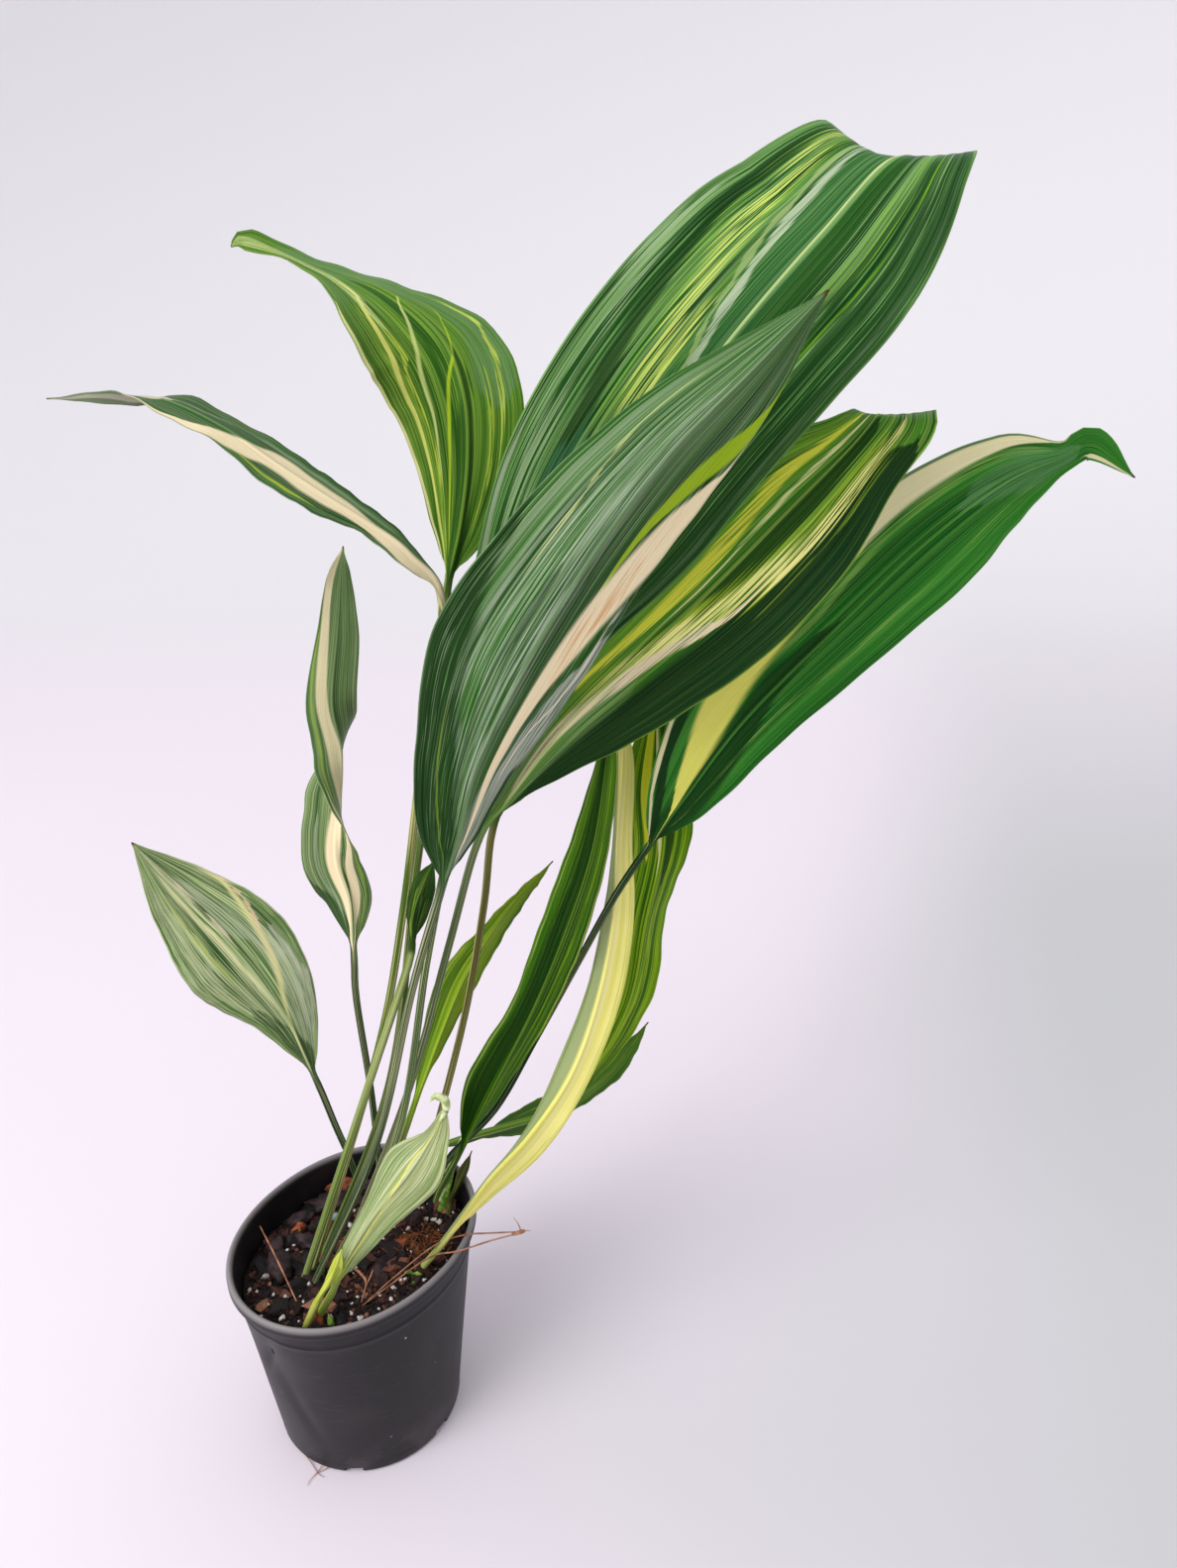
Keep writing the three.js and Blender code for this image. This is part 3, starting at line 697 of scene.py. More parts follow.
def scatter_tree():
    """A Geometry Nodes tree with the inputs above, from the bed to the mesh of its lumps."""
    tree = bpy.data.node_groups.new("scatter_on_bed", "GeometryNodeTree")
    tree.interface.new_socket("Geometry", in_out="INPUT", socket_type="NodeSocketGeometry")
    for name, kind, value in SCATTER_INPUTS:
        socket = tree.interface.new_socket(name, in_out="INPUT", socket_type=kind)
        if value is not None:
            socket.default_value = value
    tree.interface.new_socket("Geometry", in_out="OUTPUT", socket_type="NodeSocketGeometry")
    nodes = Nodes(tree)
    given = nodes.add("NodeGroupInput").outputs
    real = nodes.add("GeometryNodeRealizeInstances", {0: lumps_on_bed(nodes, given)}).outputs[0]
    dressed = {"Geometry": real, "Material": given["Finish"]}
    nodes.add("NodeGroupOutput", {0: nodes.add("GeometryNodeSetMaterial", dressed).outputs[0]})
    return tree


scatter = scatter_tree()
print("scatter inputs:", [item.name for item in scatter.interface.items_tree if item.in_out == "INPUT"])


# %% Sow chips, crumbs and perlite
def grown(carrier_mesh, tree, values):
    """The mesh that a Geometry Nodes tree makes on a carrier, as plain data."""
    carrier = bpy.data.objects.new("carrier", carrier_mesh)
    bpy.context.scene.collection.objects.link(carrier)
    modifier = carrier.modifiers.new("grow", "NODES")
    modifier.node_group = tree
    for item in tree.interface.items_tree:
        if item.in_out == "INPUT" and item.name in values:
            modifier[item.identifier] = values[item.name]
    evaluated = carrier.evaluated_get(bpy.context.evaluated_depsgraph_get())
    mesh = bpy.data.meshes.new_from_object(evaluated)
    bpy.data.objects.remove(carrier)
    return mesh


SOWN = {
    "bark_chips": {"Density": 11000.0, "Seed": 5, "Smallest": 0.006, "Largest": 0.021,
                   "Reach": 0.9, "Flatness": (1.0, 0.62, 0.34), "Lift": 0.0009, "Finish": bark},
    "soil_crumbs": {"Density": 170000.0, "Seed": 9, "Smallest": 0.0011, "Largest": 0.0042,
                    "Reach": 0.97, "Flatness": (1.0, 0.8, 0.6), "Lift": 0.0004, "Finish": bark},
    "perlite_bits": {"Density": 10500.0, "Seed": 14, "Smallest": 0.0012, "Largest": 0.0042,
                     "Reach": 0.96, "Flatness": (1.0, 0.85, 0.75), "Lift": 0.0014, "Finish": perlite},
}
for name, values in SOWN.items():
    sown_mesh = grown(bed.data, scatter, values)
    seat(name, sown_mesh, values["Finish"], smooth=name == "perlite_bits")
    print(name, "faces:", len(sown_mesh.polygons))

# %% [markdown]
# ## The leaves
#
# Each leaf grows as one piece: a round stem that runs on as the rib of the blade. So one rule makes all
# of them. A smooth curve goes from the foot to the tip, and a cross-section rides on it: a round stem
# low down, and higher up two thin halves that bend away from the rib. The rows give the curve in
# millimetres, the roll and fold of the blade, and the widths to its left and right margins. A leaf that
# lies over to one side counts its roll round its own direction, so that it doesn't flip at the top.

# %% Rows of the leaves: x, y, z, roll, fold, left, right
LEAF_ROWS = {}


def leaf_rows(foot, stem, rib, wave=0, sideways=False):
    """A leaf's foot on the mix, points of its stem, rows of its rib and the size of its ripples."""
    return {"foot": foot, "stem": stem, "rib": rib, "wave": wave, "sideways": sideways}


LEAF_ROWS["leaf_top"] = leaf_rows((-19, -10), [(34, -4, 233), (61, -1, 366)], [
    (77, 0, 438, -5, -8, 0, 0), (89, 2, 483, -5, -8, 14, 17), (112, 4, 532, -5, -8, 28, 33),
    (135, 5, 579, -5, -8, 43, 38), (167, 5, 632, -3, -8, 60, 54), (202, 4, 682, 3, -5, 65, 57),
    (239, 4, 728, 6, -5, 62, 58), (273, 8, 765, 6, -6, 53, 56), (308, 22, 799, 3, -6, 37, 41),
    (337, 56, 796, -5, -5, 25, 17), (356, 84, 771, -5, -5, 0, 0),
], wave=1.5)
LEAF_ROWS["leaf_front"] = leaf_rows((-28, -24), [(25, -27, 245), (56, -30, 363)], [
    (76, -34, 428, -20, -25, 0, 0), (88, -37, 464, -22, -28, 22, 14), (101, -41, 510, -20, -28, 34, 31),
    (126, -43, 561, -16, -28, 50, 40), (162, -45, 620, -14, -33, 43, 43),
    (198, -46, 668, -12, -38, 31, 44), (235, -45, 705, -8, -40, 18, 26), (268, -42, 739, -5, -40, 0, 0),
])
LEAF_ROWS["leaf_striped"] = leaf_rows((-13, -3), [(40, 6, 257), (72, 12, 365)], [
    (93, 18, 437, -20, -20, 0, 0), (112, 20, 465, -18, -18, 20, 8), (144, 22, 508, -14, -12, 33, 34),
    (186, 25, 549, -8, -5, 43, 44), (230, 29, 590, 0, 0, 49, 49), (272, 35, 633, 0, 0, 44, 46),
    (304, 42, 665, -3, 0, 20, 33), (320, 56, 680, 0, -5, 12, 33), (322, 72, 672, 5, -5, 10, 20),
    (324, 80, 652, 5, -5, 0, 0),
])
LEAF_ROWS["leaf_right"] = leaf_rows((46, 58), [(56, 59, 160), (93, 60, 206),
                                    (123, 55, 269), (154, 52, 335), (177, 54, 381)], [
    (197, 58, 413, -17, 0, 0, 0), (220, 60, 448, -17, 0, 30, 20), (258, 66, 500, -9, -3, 48, 29),
    (312, 76, 555, -3, -5, 45, 34), (365, 84, 607, -1, -8, 42, 38), (409, 90, 640, -10, -12, 30, 29),
    (441, 92, 654, -5, -8, 10, 10), (457, 90, 662, 0, -5, 9, 10), (483, 86, 643, 0, 0, 0, 0),
], sideways=True)
LEAF_ROWS["leaf_arched"] = leaf_rows((-27, -3), [(30, 2, 269), (56, 9, 420), (74, 13, 523)], [
    (82, 14, 588, 0, -15, 0, 0), (91, 16, 626, -1, -15, 17, 17), (96, 18, 660, -8, -12, 29, 28),
    (95, 21, 692, -20, -10, 39, 32), (84, 28, 719, -40, -10, 46, 31), (56, 38, 741, -65, -8, 42, 16),
    (17, 50, 754, -70, -5, 8, 8), (-19, 60, 767, -20, -3, 6, 6), (-29, 62, 764, 0, 0, 0, 0),
], wave=1, sideways=True)
LEAF_ROWS["leaf_far_left"] = leaf_rows((-31, -12), [(26, -8, 299), (48, 0, 397), (68, -4, 513)], [
    (82, -4, 587, -60, -10, 3, 3), (67, -6, 614, -58, -10, 9, 7), (46, -6, 630, -60, -8, 8, 12),
    (25, -6, 644, -60, -8, 14, 14), (4, -4, 658, -60, -8, 16, 15), (-25, 0, 677, -65, -8, 12, 13),
    (-55, 6, 690, -70, -10, 11, 11), (-86, 13, 691, -150, -10, 4, 4), (-121, 20, 690, -170, 0, 0, 0),
], sideways=True)
LEAF_ROWS["leaf_twisted"] = leaf_rows((6, 60), [(5, 60, 214), (0, 62, 296)], [
    (1, 62, 329, 0, -30, 0, 0), (2, 62, 372, 0, -20, 18, 14), (-4, 62, 405, 5, 0, 23, 15),
    (1, 62, 443, 45, 30, 24, 18), (5, 62, 479, 120, 33, 23, 18), (2, 62, 511, 162, 10, 16, 16),
    (9, 62, 555, 175, 0, 13, 12), (14, 62, 588, 178, 0, 6, 8), (17, 62, 607, 180, 0, 0, 0),
], wave=1.5)
LEAF_ROWS["leaf_low_left"] = leaf_rows((-10, 62), [(-14, 60, 156), (-24, 61, 192)], [
    (-33, 62, 226, -10, -20, 0, 0), (-47, 60, 277, -15, -12, 18, 20), (-62, 57, 315, -15, -5, 36, 34),
    (-82, 54, 351, -15, 0, 37, 39), (-104, 50, 384, -20, -5, 23, 25), (-129, 46, 424, -20, 0, 0, 0),
], wave=1.5)
LEAF_ROWS["leaf_young"] = leaf_rows((-15, -54), [(-14, -55, 134)], [
    (-4, -56, 154, 20, -30, 0, 0), (10, -58, 188, 20, -25, 6, 9), (30, -60, 224, 20, -25, 10, 15),
    (52, -60, 255, 15, -20, 18, 20), (67, -58, 280, 5, -10, 6, 11), (76, -54, 301, 0, 0, 0, 0),
], wave=1.5)
LEAF_ROWS["leaf_strap"] = leaf_rows((46, 46), [(50, 49, 140)], [
    (65, 50, 171, -10, -30, 0, 0), (92, 44, 235, -10, -20, 19, 11), (122, 38, 304, -12, -20, 15, 17),
    (145, 34, 367, -14, -20, 17, 17), (162, 34, 423, -14, -30, 15, 14), (170, 38, 475, -5, -40, 8, 10),
    (172, 42, 508, 0, -20, 0, 0),
])
LEAF_ROWS["leaf_lime"] = leaf_rows((41, -17), [(48, -15, 135)], [
    (60, -12, 150, 10, -50, 0, 0), (91, 0, 192, 10, -50, 4, 15), (121, 12, 223, 10, -45, 7, 18),
    (149, 28, 262, 5, -40, 14, 16), (167, 45, 311, 0, -40, 11, 19), (177, 60, 363, -5, -45, 9, 19),
    (179, 68, 414, -5, -45, 4, 14), (182, 72, 468, 0, -30, 5, 8), (181, 76, 501, 0, 0, 0, 0),
])
LEAF_ROWS["leaf_wavy"] = leaf_rows((36, 64), [(44, 66, 163)], [
    (135, 84, 186, -20, -15, 0, 0), (164, 90, 221, -15, -15, 14, 12), (189, 94, 275, -30, -20, 20, 25),
    (200, 96, 339, -30, -25, 28, 25), (209, 97, 393, -25, -10, 28, 23), (208, 98, 444, -10, 0, 29, 20),
    (204, 98, 512, 0, 0, 0, 0),
], wave=2)
LEAF_ROWS["leaf_slim_right"] = leaf_rows((24, 64), [(34, 71, 160)], [
    (66, 80, 160, -60, -20, 0, 0), (106, 92, 168, -55, -15, 9, 15), (142, 102, 177, -45, -10, 15, 15),
    (178, 110, 205, -30, 0, 11, 13), (205, 114, 243, -20, 0, 0, 0),
])
LEAF_ROWS["leaf_slim_middle"] = leaf_rows((4, 40), [], [
    (32, 44, 205, -10, -40, 0, 0), (53, 48, 263, -10, -35, 11, 7), (74, 50, 316, -20, -25, 16, 14),
    (96, 52, 356, -30, -20, 8, 14), (117, 54, 385, -30, -10, 3, 8), (137, 56, 406, -20, 0, 0, 0),
])
LEAF_ROWS["leaf_folded"] = leaf_rows((-35, -20), [(32, -20, 314), (46, -18, 354)], [
    (55, -17, 382, 10, -25, 0, 0), (57, -17, 404, 10, -25, 5, 8), (64, -18, 426, 10, -25, 7, 8),
    (72, -19, 443, 10, 0, 0, 0),
])
LEAF_ROWS["leaf_behind"] = leaf_rows((30, 46), [(58, 38, 224), (79, 37, 308), (93, 40, 383)], [
    (100, 44, 434, -10, -20, 0, 0), (115, 48, 464, -10, -15, 12, 12), (137, 50, 502, -10, -10, 15, 15),
    (164, 52, 533, -10, -5, 12, 12), (193, 54, 557, -10, 0, 0, 0),
])
LEAF_ROWS["sheath_right"] = leaf_rows((57, 36), [], [
    (60, 38, 141, 0, -50, 0, 0), (68, 40, 160, 0, -50, 5, 5), (77, 42, 184, 0, -20, 0, 0),
])
LEAF_ROWS["sheath_front"] = leaf_rows((-25, -60), [], [
    (-12, -63, 154, 20, -50, 0, 0), (0, -64, 178, 20, -50, 6, 6), (8, -63, 199, 20, -30, 0, 0),
])
print("leaves:", len(LEAF_ROWS))

# %% The leaf's rule
FOOT_HEIGHT = 122
STEM_RADIUS = 2.4
TIP_RIB_RADIUS = 0.35
HALF_THICKNESS = 0.33
BLADE_CURL = 14.0
BLADE_STEP = 4.0
STEM_STEP = 9.0
RIB_TAPER = 0.7
COLUMN_CROWDING = 1.3
FEWEST_COLUMNS = 8
MOST_COLUMNS = 34
COLUMNS_PER_MM = 0.6
CURL_REACH = 20
WAVES = 18
RIPPLE_SHIFT = 1.3
PLEATS = 30
PLEAT_DEPTH = 0.7
PLEAT_SLANT = 2
PLEAT_REACH = 30
FLUTTERS = (61, 23)
FLUTTER_DEPTH = 0.9
FLUTTER_SHIFT = 2.1
NUDGE = 1e-4

# How many radii of the rib a half reaches where it counts as opened, and where it is all blade.
OPENED_RIBS = 3
BLADE_RIBS = 4


def through(rows, t):
    """A smooth curve through the rows (Catmull-Rom), at parameters t from 0 to 1."""
    rows = np.asarray(rows, float)
    last = len(rows) - 1
    t = np.clip(t, 0, 1) * last
    i = np.minimum(t.astype(int), last - 1)
    t = (t - i)[:, None]
    padded = np.vstack([2 * rows[0] - rows[1], rows, 2 * rows[-1] - rows[-2]])
    a, b, c, d = padded[i], padded[i + 1], padded[i + 2], padded[i + 3]
    leave, arrive = 0.5 * (c - a), 0.5 * (d - b)
    square = -3 * b + 3 * c - 2 * leave - arrive
    cube = 2 * b - 2 * c + leave + arrive
    return b + leave * t + square * t**2 + cube * t**3


def unit(vectors):
    """The vectors with a length of 1."""
    return vectors / np.linalg.norm(vectors, axis=-1, keepdims=True)


def smooth(value, start, end):
    """0 before start and 1 after end, with a smooth change between."""
    share = np.clip((value - start) / (end - start), 0, 1)
    return share * share * (3 - 2 * share)


def ring_places(line, first_blade_step):
    """Parameters of the cross-sections: close together on the blade, wider apart on the stem."""
    steps = len(line) - 1
    places = []
    for i in range(steps):
        length = math.dist(line[i], line[i + 1])
        count = max(3, round(length / (BLADE_STEP if i >= first_blade_step else STEM_STEP)))
        places += [(i + k / count) / steps for k in range(count)]
    return np.array(places + [1.0])


def leaf_course(leaf):
    """Where a leaf runs, and how it is turned and widened, at each of its cross-sections."""
    first = leaf["rib"][0]
    stem_points = len(leaf["stem"]) + 1
    line = [(*leaf["foot"], FOOT_HEIGHT), *leaf["stem"], *[row[:3] for row in leaf["rib"]]]
    attitude = [(first[3], first[4])] * stem_points + [row[3:5] for row in leaf["rib"]]
    widths = [(0, 0)] * stem_points + [row[5:7] for row in leaf["rib"]]
    blade_start = stem_points / (len(line) - 1)
    u = ring_places(line, stem_points)
    along = unit(through(line, u + NUDGE) - through(line, u - NUDGE))
    if leaf["sideways"]:
        level = unit(np.cross(along, np.array([0, -1.0, 0])))
    else:
        level = unit(np.array([1.0, 0, 0]) - along[:, :1] * along)
    angles = np.radians(through(attitude, u))
    roll = -angles[:, :1]
    across = level * np.cos(roll) + np.cross(along, level) * np.sin(roll)
    share = (u - blade_start) / (1 - blade_start)
    return {
        "middle": through(line, u),
        "across": across,
        "up": np.cross(across, along),
        "fold": angles[:, 1],
        "halves": through(widths, u),
        "share": share,
        "rib": STEM_RADIUS + (TIP_RIB_RADIUS - STEM_RADIUS) * np.maximum(share, 0) ** RIB_TAPER,
        "widest": max(max(row[5:7]) for row in leaf["rib"]),
        "wave": leaf["wave"],
    }


def surface_relief(course, side, v, outward, reach):
    """Ripples that grow to the margin, and pleats between veins with a small flutter, in mm."""
    share, rib, widest = course["share"], course["rib"], course["widest"]
    opened = smooth(reach, rib, OPENED_RIBS * rib)
    ripple = course["wave"] * outward**2 * np.sin(WAVES * share + RIPPLE_SHIFT * side) * opened
    pleat = np.sin(PLEATS * outward + PLEAT_SLANT * share) * np.minimum(1, reach / PLEAT_REACH)
    pleat = pleat * v * (1 - v)
    quick = np.sin(FLUTTERS[0] * share + FLUTTER_SHIFT * side + widest)
    flutter = quick * np.sin(FLUTTERS[1] * share + side)
    fine = (PLEAT_DEPTH * pleat + FLUTTER_DEPTH * flutter * v**3) * smooth(reach, rib, BLADE_RIBS * rib)
    return ripple, fine


def leaf_column(course, side, v):
    """Upper and lower points of the column v of the way to the margin, and its places on the leaf."""
    share, rib, across, up = course["share"], course["rib"], course["across"], course["up"]
    reach = np.maximum(course["halves"][:, 0 if side < 0 else 1], rib)
    blade_like = smooth(reach, rib, BLADE_RIBS * rib)
    on_stem = rib * math.sin(math.pi / 2 * v)
    offset = on_stem * (1 - blade_like) + reach * v**COLUMN_CROWDING * blade_like
    outward = offset / reach
    bend = math.radians(BLADE_CURL) * np.minimum(1, reach / CURL_REACH)
    fold = course["fold"] * smooth(reach, rib, OPENED_RIBS * rib)
    angle = fold + bend * offset / reach
    x = side * (reach / bend * (np.sin(angle) - np.sin(fold)))
    ripple, fine = surface_relief(course, side, v, outward, reach)
    y = reach / bend * (np.cos(fold) - np.cos(angle)) + ripple + fine
    thickness = np.maximum(HALF_THICKNESS, np.sqrt(np.maximum(0, rib**2 - offset**2)))[:, None]
    centre = course["middle"] + x[:, None] * across + y[:, None] * up
    normal = up * np.cos(angle)[:, None] - across * (side * np.sin(angle))[:, None]
    places = np.stack([side * outward, share, np.ones(len(share))], axis=-1)
    return centre + normal * thickness, centre - normal * thickness, places


def leaf_mesh(name, leaf):
    """A closed blade and stem, with each point's place on the leaf stored for its finish."""
    course = leaf_course(leaf)
    columns = int(np.clip(round(course["widest"] * COLUMNS_PER_MM), FEWEST_COLUMNS, MOST_COLUMNS))
    faces_up, faces_down, places_up, places_down = [], [], [], []
    for k in range(-columns, columns + 1):
        upper, lower, places = leaf_column(course, np.sign(k), abs(k) / columns)
        faces_up.append(upper)
        faces_down.insert(0, lower)
        places_up.append(places)
        places_down.insert(0, places * [1, 1, -1])
    grid = np.stack(faces_up + faces_down, axis=1)
    place = np.stack(places_up + places_down, axis=1)
    rings, count = grid.shape[:2]
    steps = np.linalg.norm(np.diff(course["middle"], axis=0), axis=1)
    run = np.repeat(np.concatenate([[0], np.cumsum(steps)]), count)
    mesh = bpy.data.meshes.new(name)
    mesh.from_pydata([tuple(p) for p in grid.reshape(-1, 3) * MM], [], loft_faces(rings, count))
    mesh.attributes.new("place", "FLOAT_VECTOR", "POINT").data.foreach_set("vector", place.reshape(-1))
    mesh.attributes.new("run", "FLOAT", "POINT").data.foreach_set("value", run)
    mesh.update()
    return mesh


print("a ring every", BLADE_STEP, "mm on a blade and", STEM_STEP, "mm on a stem")

# %% [markdown]
# ### Stripes that follow the veins
#
# A striped leaf isn't painted with straight bars. Each stripe keeps to its veins, widens and narrows,
# frays into flecks and ends in a point. Here a stripe is a row of share, across and half width: share
# runs from 0 at the blade's base to 1 at its tip, and across from -1 at the left margin to 1 at the
# right. Two curve nodes turn the rows into a smooth band, and noise that is drawn out along the blade
# frays its edge into strands. The leaf's mesh carries share and across in the attribute called place.

# %% Leaf colours, given as 0 to 255
NIGHT = (8, 40, 14)
DEEP = (14, 66, 18)
GREY_GREEN = (92, 124, 84)
SILVER = (160, 178, 146)
LIME = (168, 198, 62)
YELLOW = (216, 220, 106)
CREAM = (238, 232, 190)
BROWN = (104, 74, 46)
BAND_FADE = 0.08
NARROWEST = 0.0005
LEAF_DEPTH = 1.22
VEINS = 120.0
STRANDS = {
    "broad": (6, 1.3, 0.1, 1.0),
    "coarse": (26, 1.8, 0.3, 1.0),
    "fine": (68, 2.8, 0.5, 1.0),
    "hair": (170, 4.5, 0.7, 1.0),
    "fleck": (64, 9.0, 0.9, 2.0),
}


def band(colour, rows, opacity, ragged, flecks=0.0, edge=0.22):
    """A stripe: rows of share, across, half width; flecks from 0, whole, to 1, only flecks.

    Opacity is how well it covers, ragged how far its edge frays and edge how soft it is.
    """
    values = {"colour": srgb(*colour), "rows": rows, "opacity": opacity}
    return values | {"ragged": ragged, "flecks": flecks, "edge": edge}


def curve_node(nodes, factor, points):
    """A Float Curve through points whose x and y are from 0 to 1."""
    node = nodes.add("ShaderNodeFloatCurve", {"Value": factor})
    curve = node.mapping.curves[0]
    points = [(0.0, points[0][1])] * (points[0][0] > 0.001) + points
    points = points + [(1.0, points[-1][1])] * (points[-1][0] < 0.999)
    while len(curve.points) < len(points):
        curve.points.new(0.5, 0.5)
    for spot, (x, y) in zip(curve.points, points):
        spot.location = (x, y)
        spot.handle_type = "AUTO_CLAMPED"
    node.mapping.update()
    return node.outputs[0]


def band_mask(nodes, stripe, across, share, fray, fleck):
    """How much of a stripe shows: 1 inside it, 0 outside."""
    rows = stripe["rows"]
    centre_points = [(s, 0.5 + 0.5 * a) for s, a, _ in rows]
    width_points = [(s, half / 2) for s, _, half in rows]
    if rows[0][0] > BAND_FADE:
        width_points.insert(0, (rows[0][0] - BAND_FADE, 0.0))
    if rows[-1][0] < 1 - BAND_FADE:
        width_points.append((rows[-1][0] + BAND_FADE, 0.0))
    centre = curve_node(nodes, share, centre_points)
    half = nodes.maths("MAXIMUM", curve_node(nodes, share, width_points), NARROWEST)
    wander = nodes.maths("MULTIPLY_ADD", fray, stripe["ragged"], -0.5 * stripe["ragged"])
    frayed = nodes.maths("ADD", nodes.maths("MULTIPLY_ADD", across, 0.5, 0.5), wander)
    aside = nodes.maths("ABSOLUTE", nodes.maths("SUBTRACT", frayed, centre))
    inside = nodes.ease(nodes.maths("DIVIDE", aside, half), 1.0 + stripe["edge"], 1.0 - stripe["edge"])
    alive = nodes.ease(half, NARROWEST, 0.003)
    inside = nodes.maths("MULTIPLY", inside, alive)
    if stripe["flecks"]:
        cover = nodes.ease(fleck, 0.34 + 0.2 * stripe["flecks"], 0.46 + 0.2 * stripe["flecks"])
        inside = nodes.maths("MULTIPLY", inside, cover)
    return nodes.maths("MULTIPLY", inside, stripe["opacity"])


# %% A leaf's finish
STREAKS_ACROSS = 5.0
STREAKS_ALONG = 0.006
STREAK_EDGE = (0.42, 0.56)
STREAK_CREAM = (0.53, 0.6)
SHADE_EDGE = (0.36, 0.64)
COARSE_EDGE = (0.46, 0.66)
FINE_EDGE = (0.48, 0.64)
HAIR_DARK = (0.48, 0.62)
HAIR_PALE = (0.5, 0.38)
RIB_EDGE = (0.035, 0.008)
RIM_EDGE = (0.975, 0.995)
DRY_TIP = (0.985, 0.998)
UNDERSIDE = (0.4, -0.4)
STEM_END = (0.05, -0.03)
VEIN_DEPTH = 0.25


def stem_colour(nodes, shades, across, run, seed):
    """Streaks along the stem between two shades, with a few near cream."""
    aside = nodes.maths("MULTIPLY", across, STREAKS_ACROSS)
    place = nodes.vector(aside, nodes.maths("MULTIPLY", run, STREAKS_ALONG), seed)
    streak = nodes.noise(place, 1.0, 2.0)
    stem = nodes.mix(nodes.ease(streak, *STREAK_EDGE), *shades)
    cream = nodes.mix(0.5, shades[1], srgb(*CREAM))
    return nodes.mix(nodes.ease(streak, *STREAK_CREAM, high=0.75), stem, cream)


def strand_noises(nodes, across, share, fineness, seed):
    """Noises drawn out along the blade: pace from side to side, pace along it, shift and detail."""
    noises = {}
    for name, (over, along, shift, detail) in STRANDS.items():
        aside = nodes.maths("MULTIPLY", across, over * fineness)
        spot = nodes.vector(aside, nodes.maths("MULTIPLY", share, along), seed + shift)
        noises[name] = nodes.noise(spot, 1.0, detail)
    return noises


def blade_colour(nodes, look, strands, across, share):
    """The ground with its pale strands, the stripes on it and the hair lines over both."""
    pale, streaks = look["pale"], look["streaks"]
    coarse, fine, hair = strands["coarse"], strands["fine"], strands["hair"]
    fray = nodes.maths("MULTIPLY_ADD", fine, 0.6, nodes.maths("MULTIPLY_ADD", coarse, 0.9, -0.25))
    colour = nodes.mix(nodes.ease(strands["broad"], *SHADE_EDGE), look["dark"], look["base"])
    colour = nodes.mix(nodes.ease(coarse, *COARSE_EDGE, high=0.5 * streaks), colour, pale)
    colour = nodes.mix(nodes.ease(fine, *FINE_EDGE, high=streaks), colour, pale)
    for stripe in look["bands"]:
        mask = band_mask(nodes, stripe, across, share, fray, strands["fleck"])
        colour = nodes.mix(mask, colour, stripe["colour"])
    # Hair lines darken and lighten a stripe as well as the ground, so they keep part of its colour.
    darker = nodes.mix(0.5, colour, look["dark"])
    colour = nodes.mix(nodes.ease(hair, *HAIR_DARK, high=0.28), colour, darker)
    lighter = nodes.mix(0.4, colour, pale)
    return nodes.mix(nodes.ease(hair, *HAIR_PALE, high=0.3), colour, lighter)


def leaf_finish(name, look, seed):
    """Blade, stripes, rib, underside and stem in one material that reads the leaf's own places."""
    material, nodes, shader = new_finish(name, 0.4, look["shine"])
    place = nodes.add("ShaderNodeAttribute", attribute_name="place").outputs["Vector"]
    split = nodes.add("ShaderNodeSeparateXYZ", {0: place})
    across, share, face = split.outputs[0], split.outputs[1], split.outputs[2]
    run = nodes.add("ShaderNodeAttribute", attribute_name="run").outputs["Fac"]
    strands = strand_noises(nodes, across, share, look["fine"], seed)
    colour = blade_colour(nodes, look, strands, across, share)
    # The pale rib and rim, the dry tip, the underside and the stem go on top, in this order.
    from_rib = nodes.maths("ABSOLUTE", across)
    colour = nodes.mix(nodes.ease(from_rib, *RIB_EDGE, high=look["rib"]), colour, look["pale"])
    colour = nodes.mix(nodes.ease(from_rib, *RIM_EDGE, high=0.5), colour, look["pale"])
    colour = nodes.mix(nodes.ease(share, *DRY_TIP), colour, srgb(*BROWN))
    colour = nodes.mix(nodes.ease(face, *UNDERSIDE, high=look["under_cover"]), colour, look["under"])
    stem = stem_colour(nodes, look["stem"], across, run, seed)
    colour = nodes.mix(nodes.ease(share, *STEM_END), colour, stem)
    deep = nodes.add("ShaderNodeGamma", {"Color": colour, "Gamma": LEAF_DEPTH}).outputs[0]
    veins = nodes.maths("SINE", nodes.maths("MULTIPLY", across, VEINS * look["fine"]))
    threads = nodes.maths("ADD", strands["fine"], strands["hair"])
    height = nodes.maths("ADD", nodes.maths("MULTIPLY", veins, VEIN_DEPTH), threads)
    roughness = nodes.maths("MULTIPLY_ADD", strands["broad"], 0.22, look["gloss"])
    nodes.put(shader.inputs["Roughness"], roughness)
    nodes.dress(shader, deep, height, look["relief"], 0.0004)
    return material


def look(base, dark, pale, bands, stem, under=GREY_GREEN, **changes):
    """What a leaf's finish needs, with the usual values for the rest."""
    values = {"base": srgb(*base), "dark": srgb(*dark), "pale": srgb(*pale), "under": srgb(*under)}
    values |= {"bands": bands, "stem": [srgb(*shade) for shade in stem]}
    values |= {"streaks": 0.5, "fine": 1.0, "rib": 0.5, "under_cover": 0.5}
    values |= {"gloss": 0.3, "relief": 0.35, "shine": 0.07}
    return values | changes


print("a leaf's finish reads the attributes place and run")
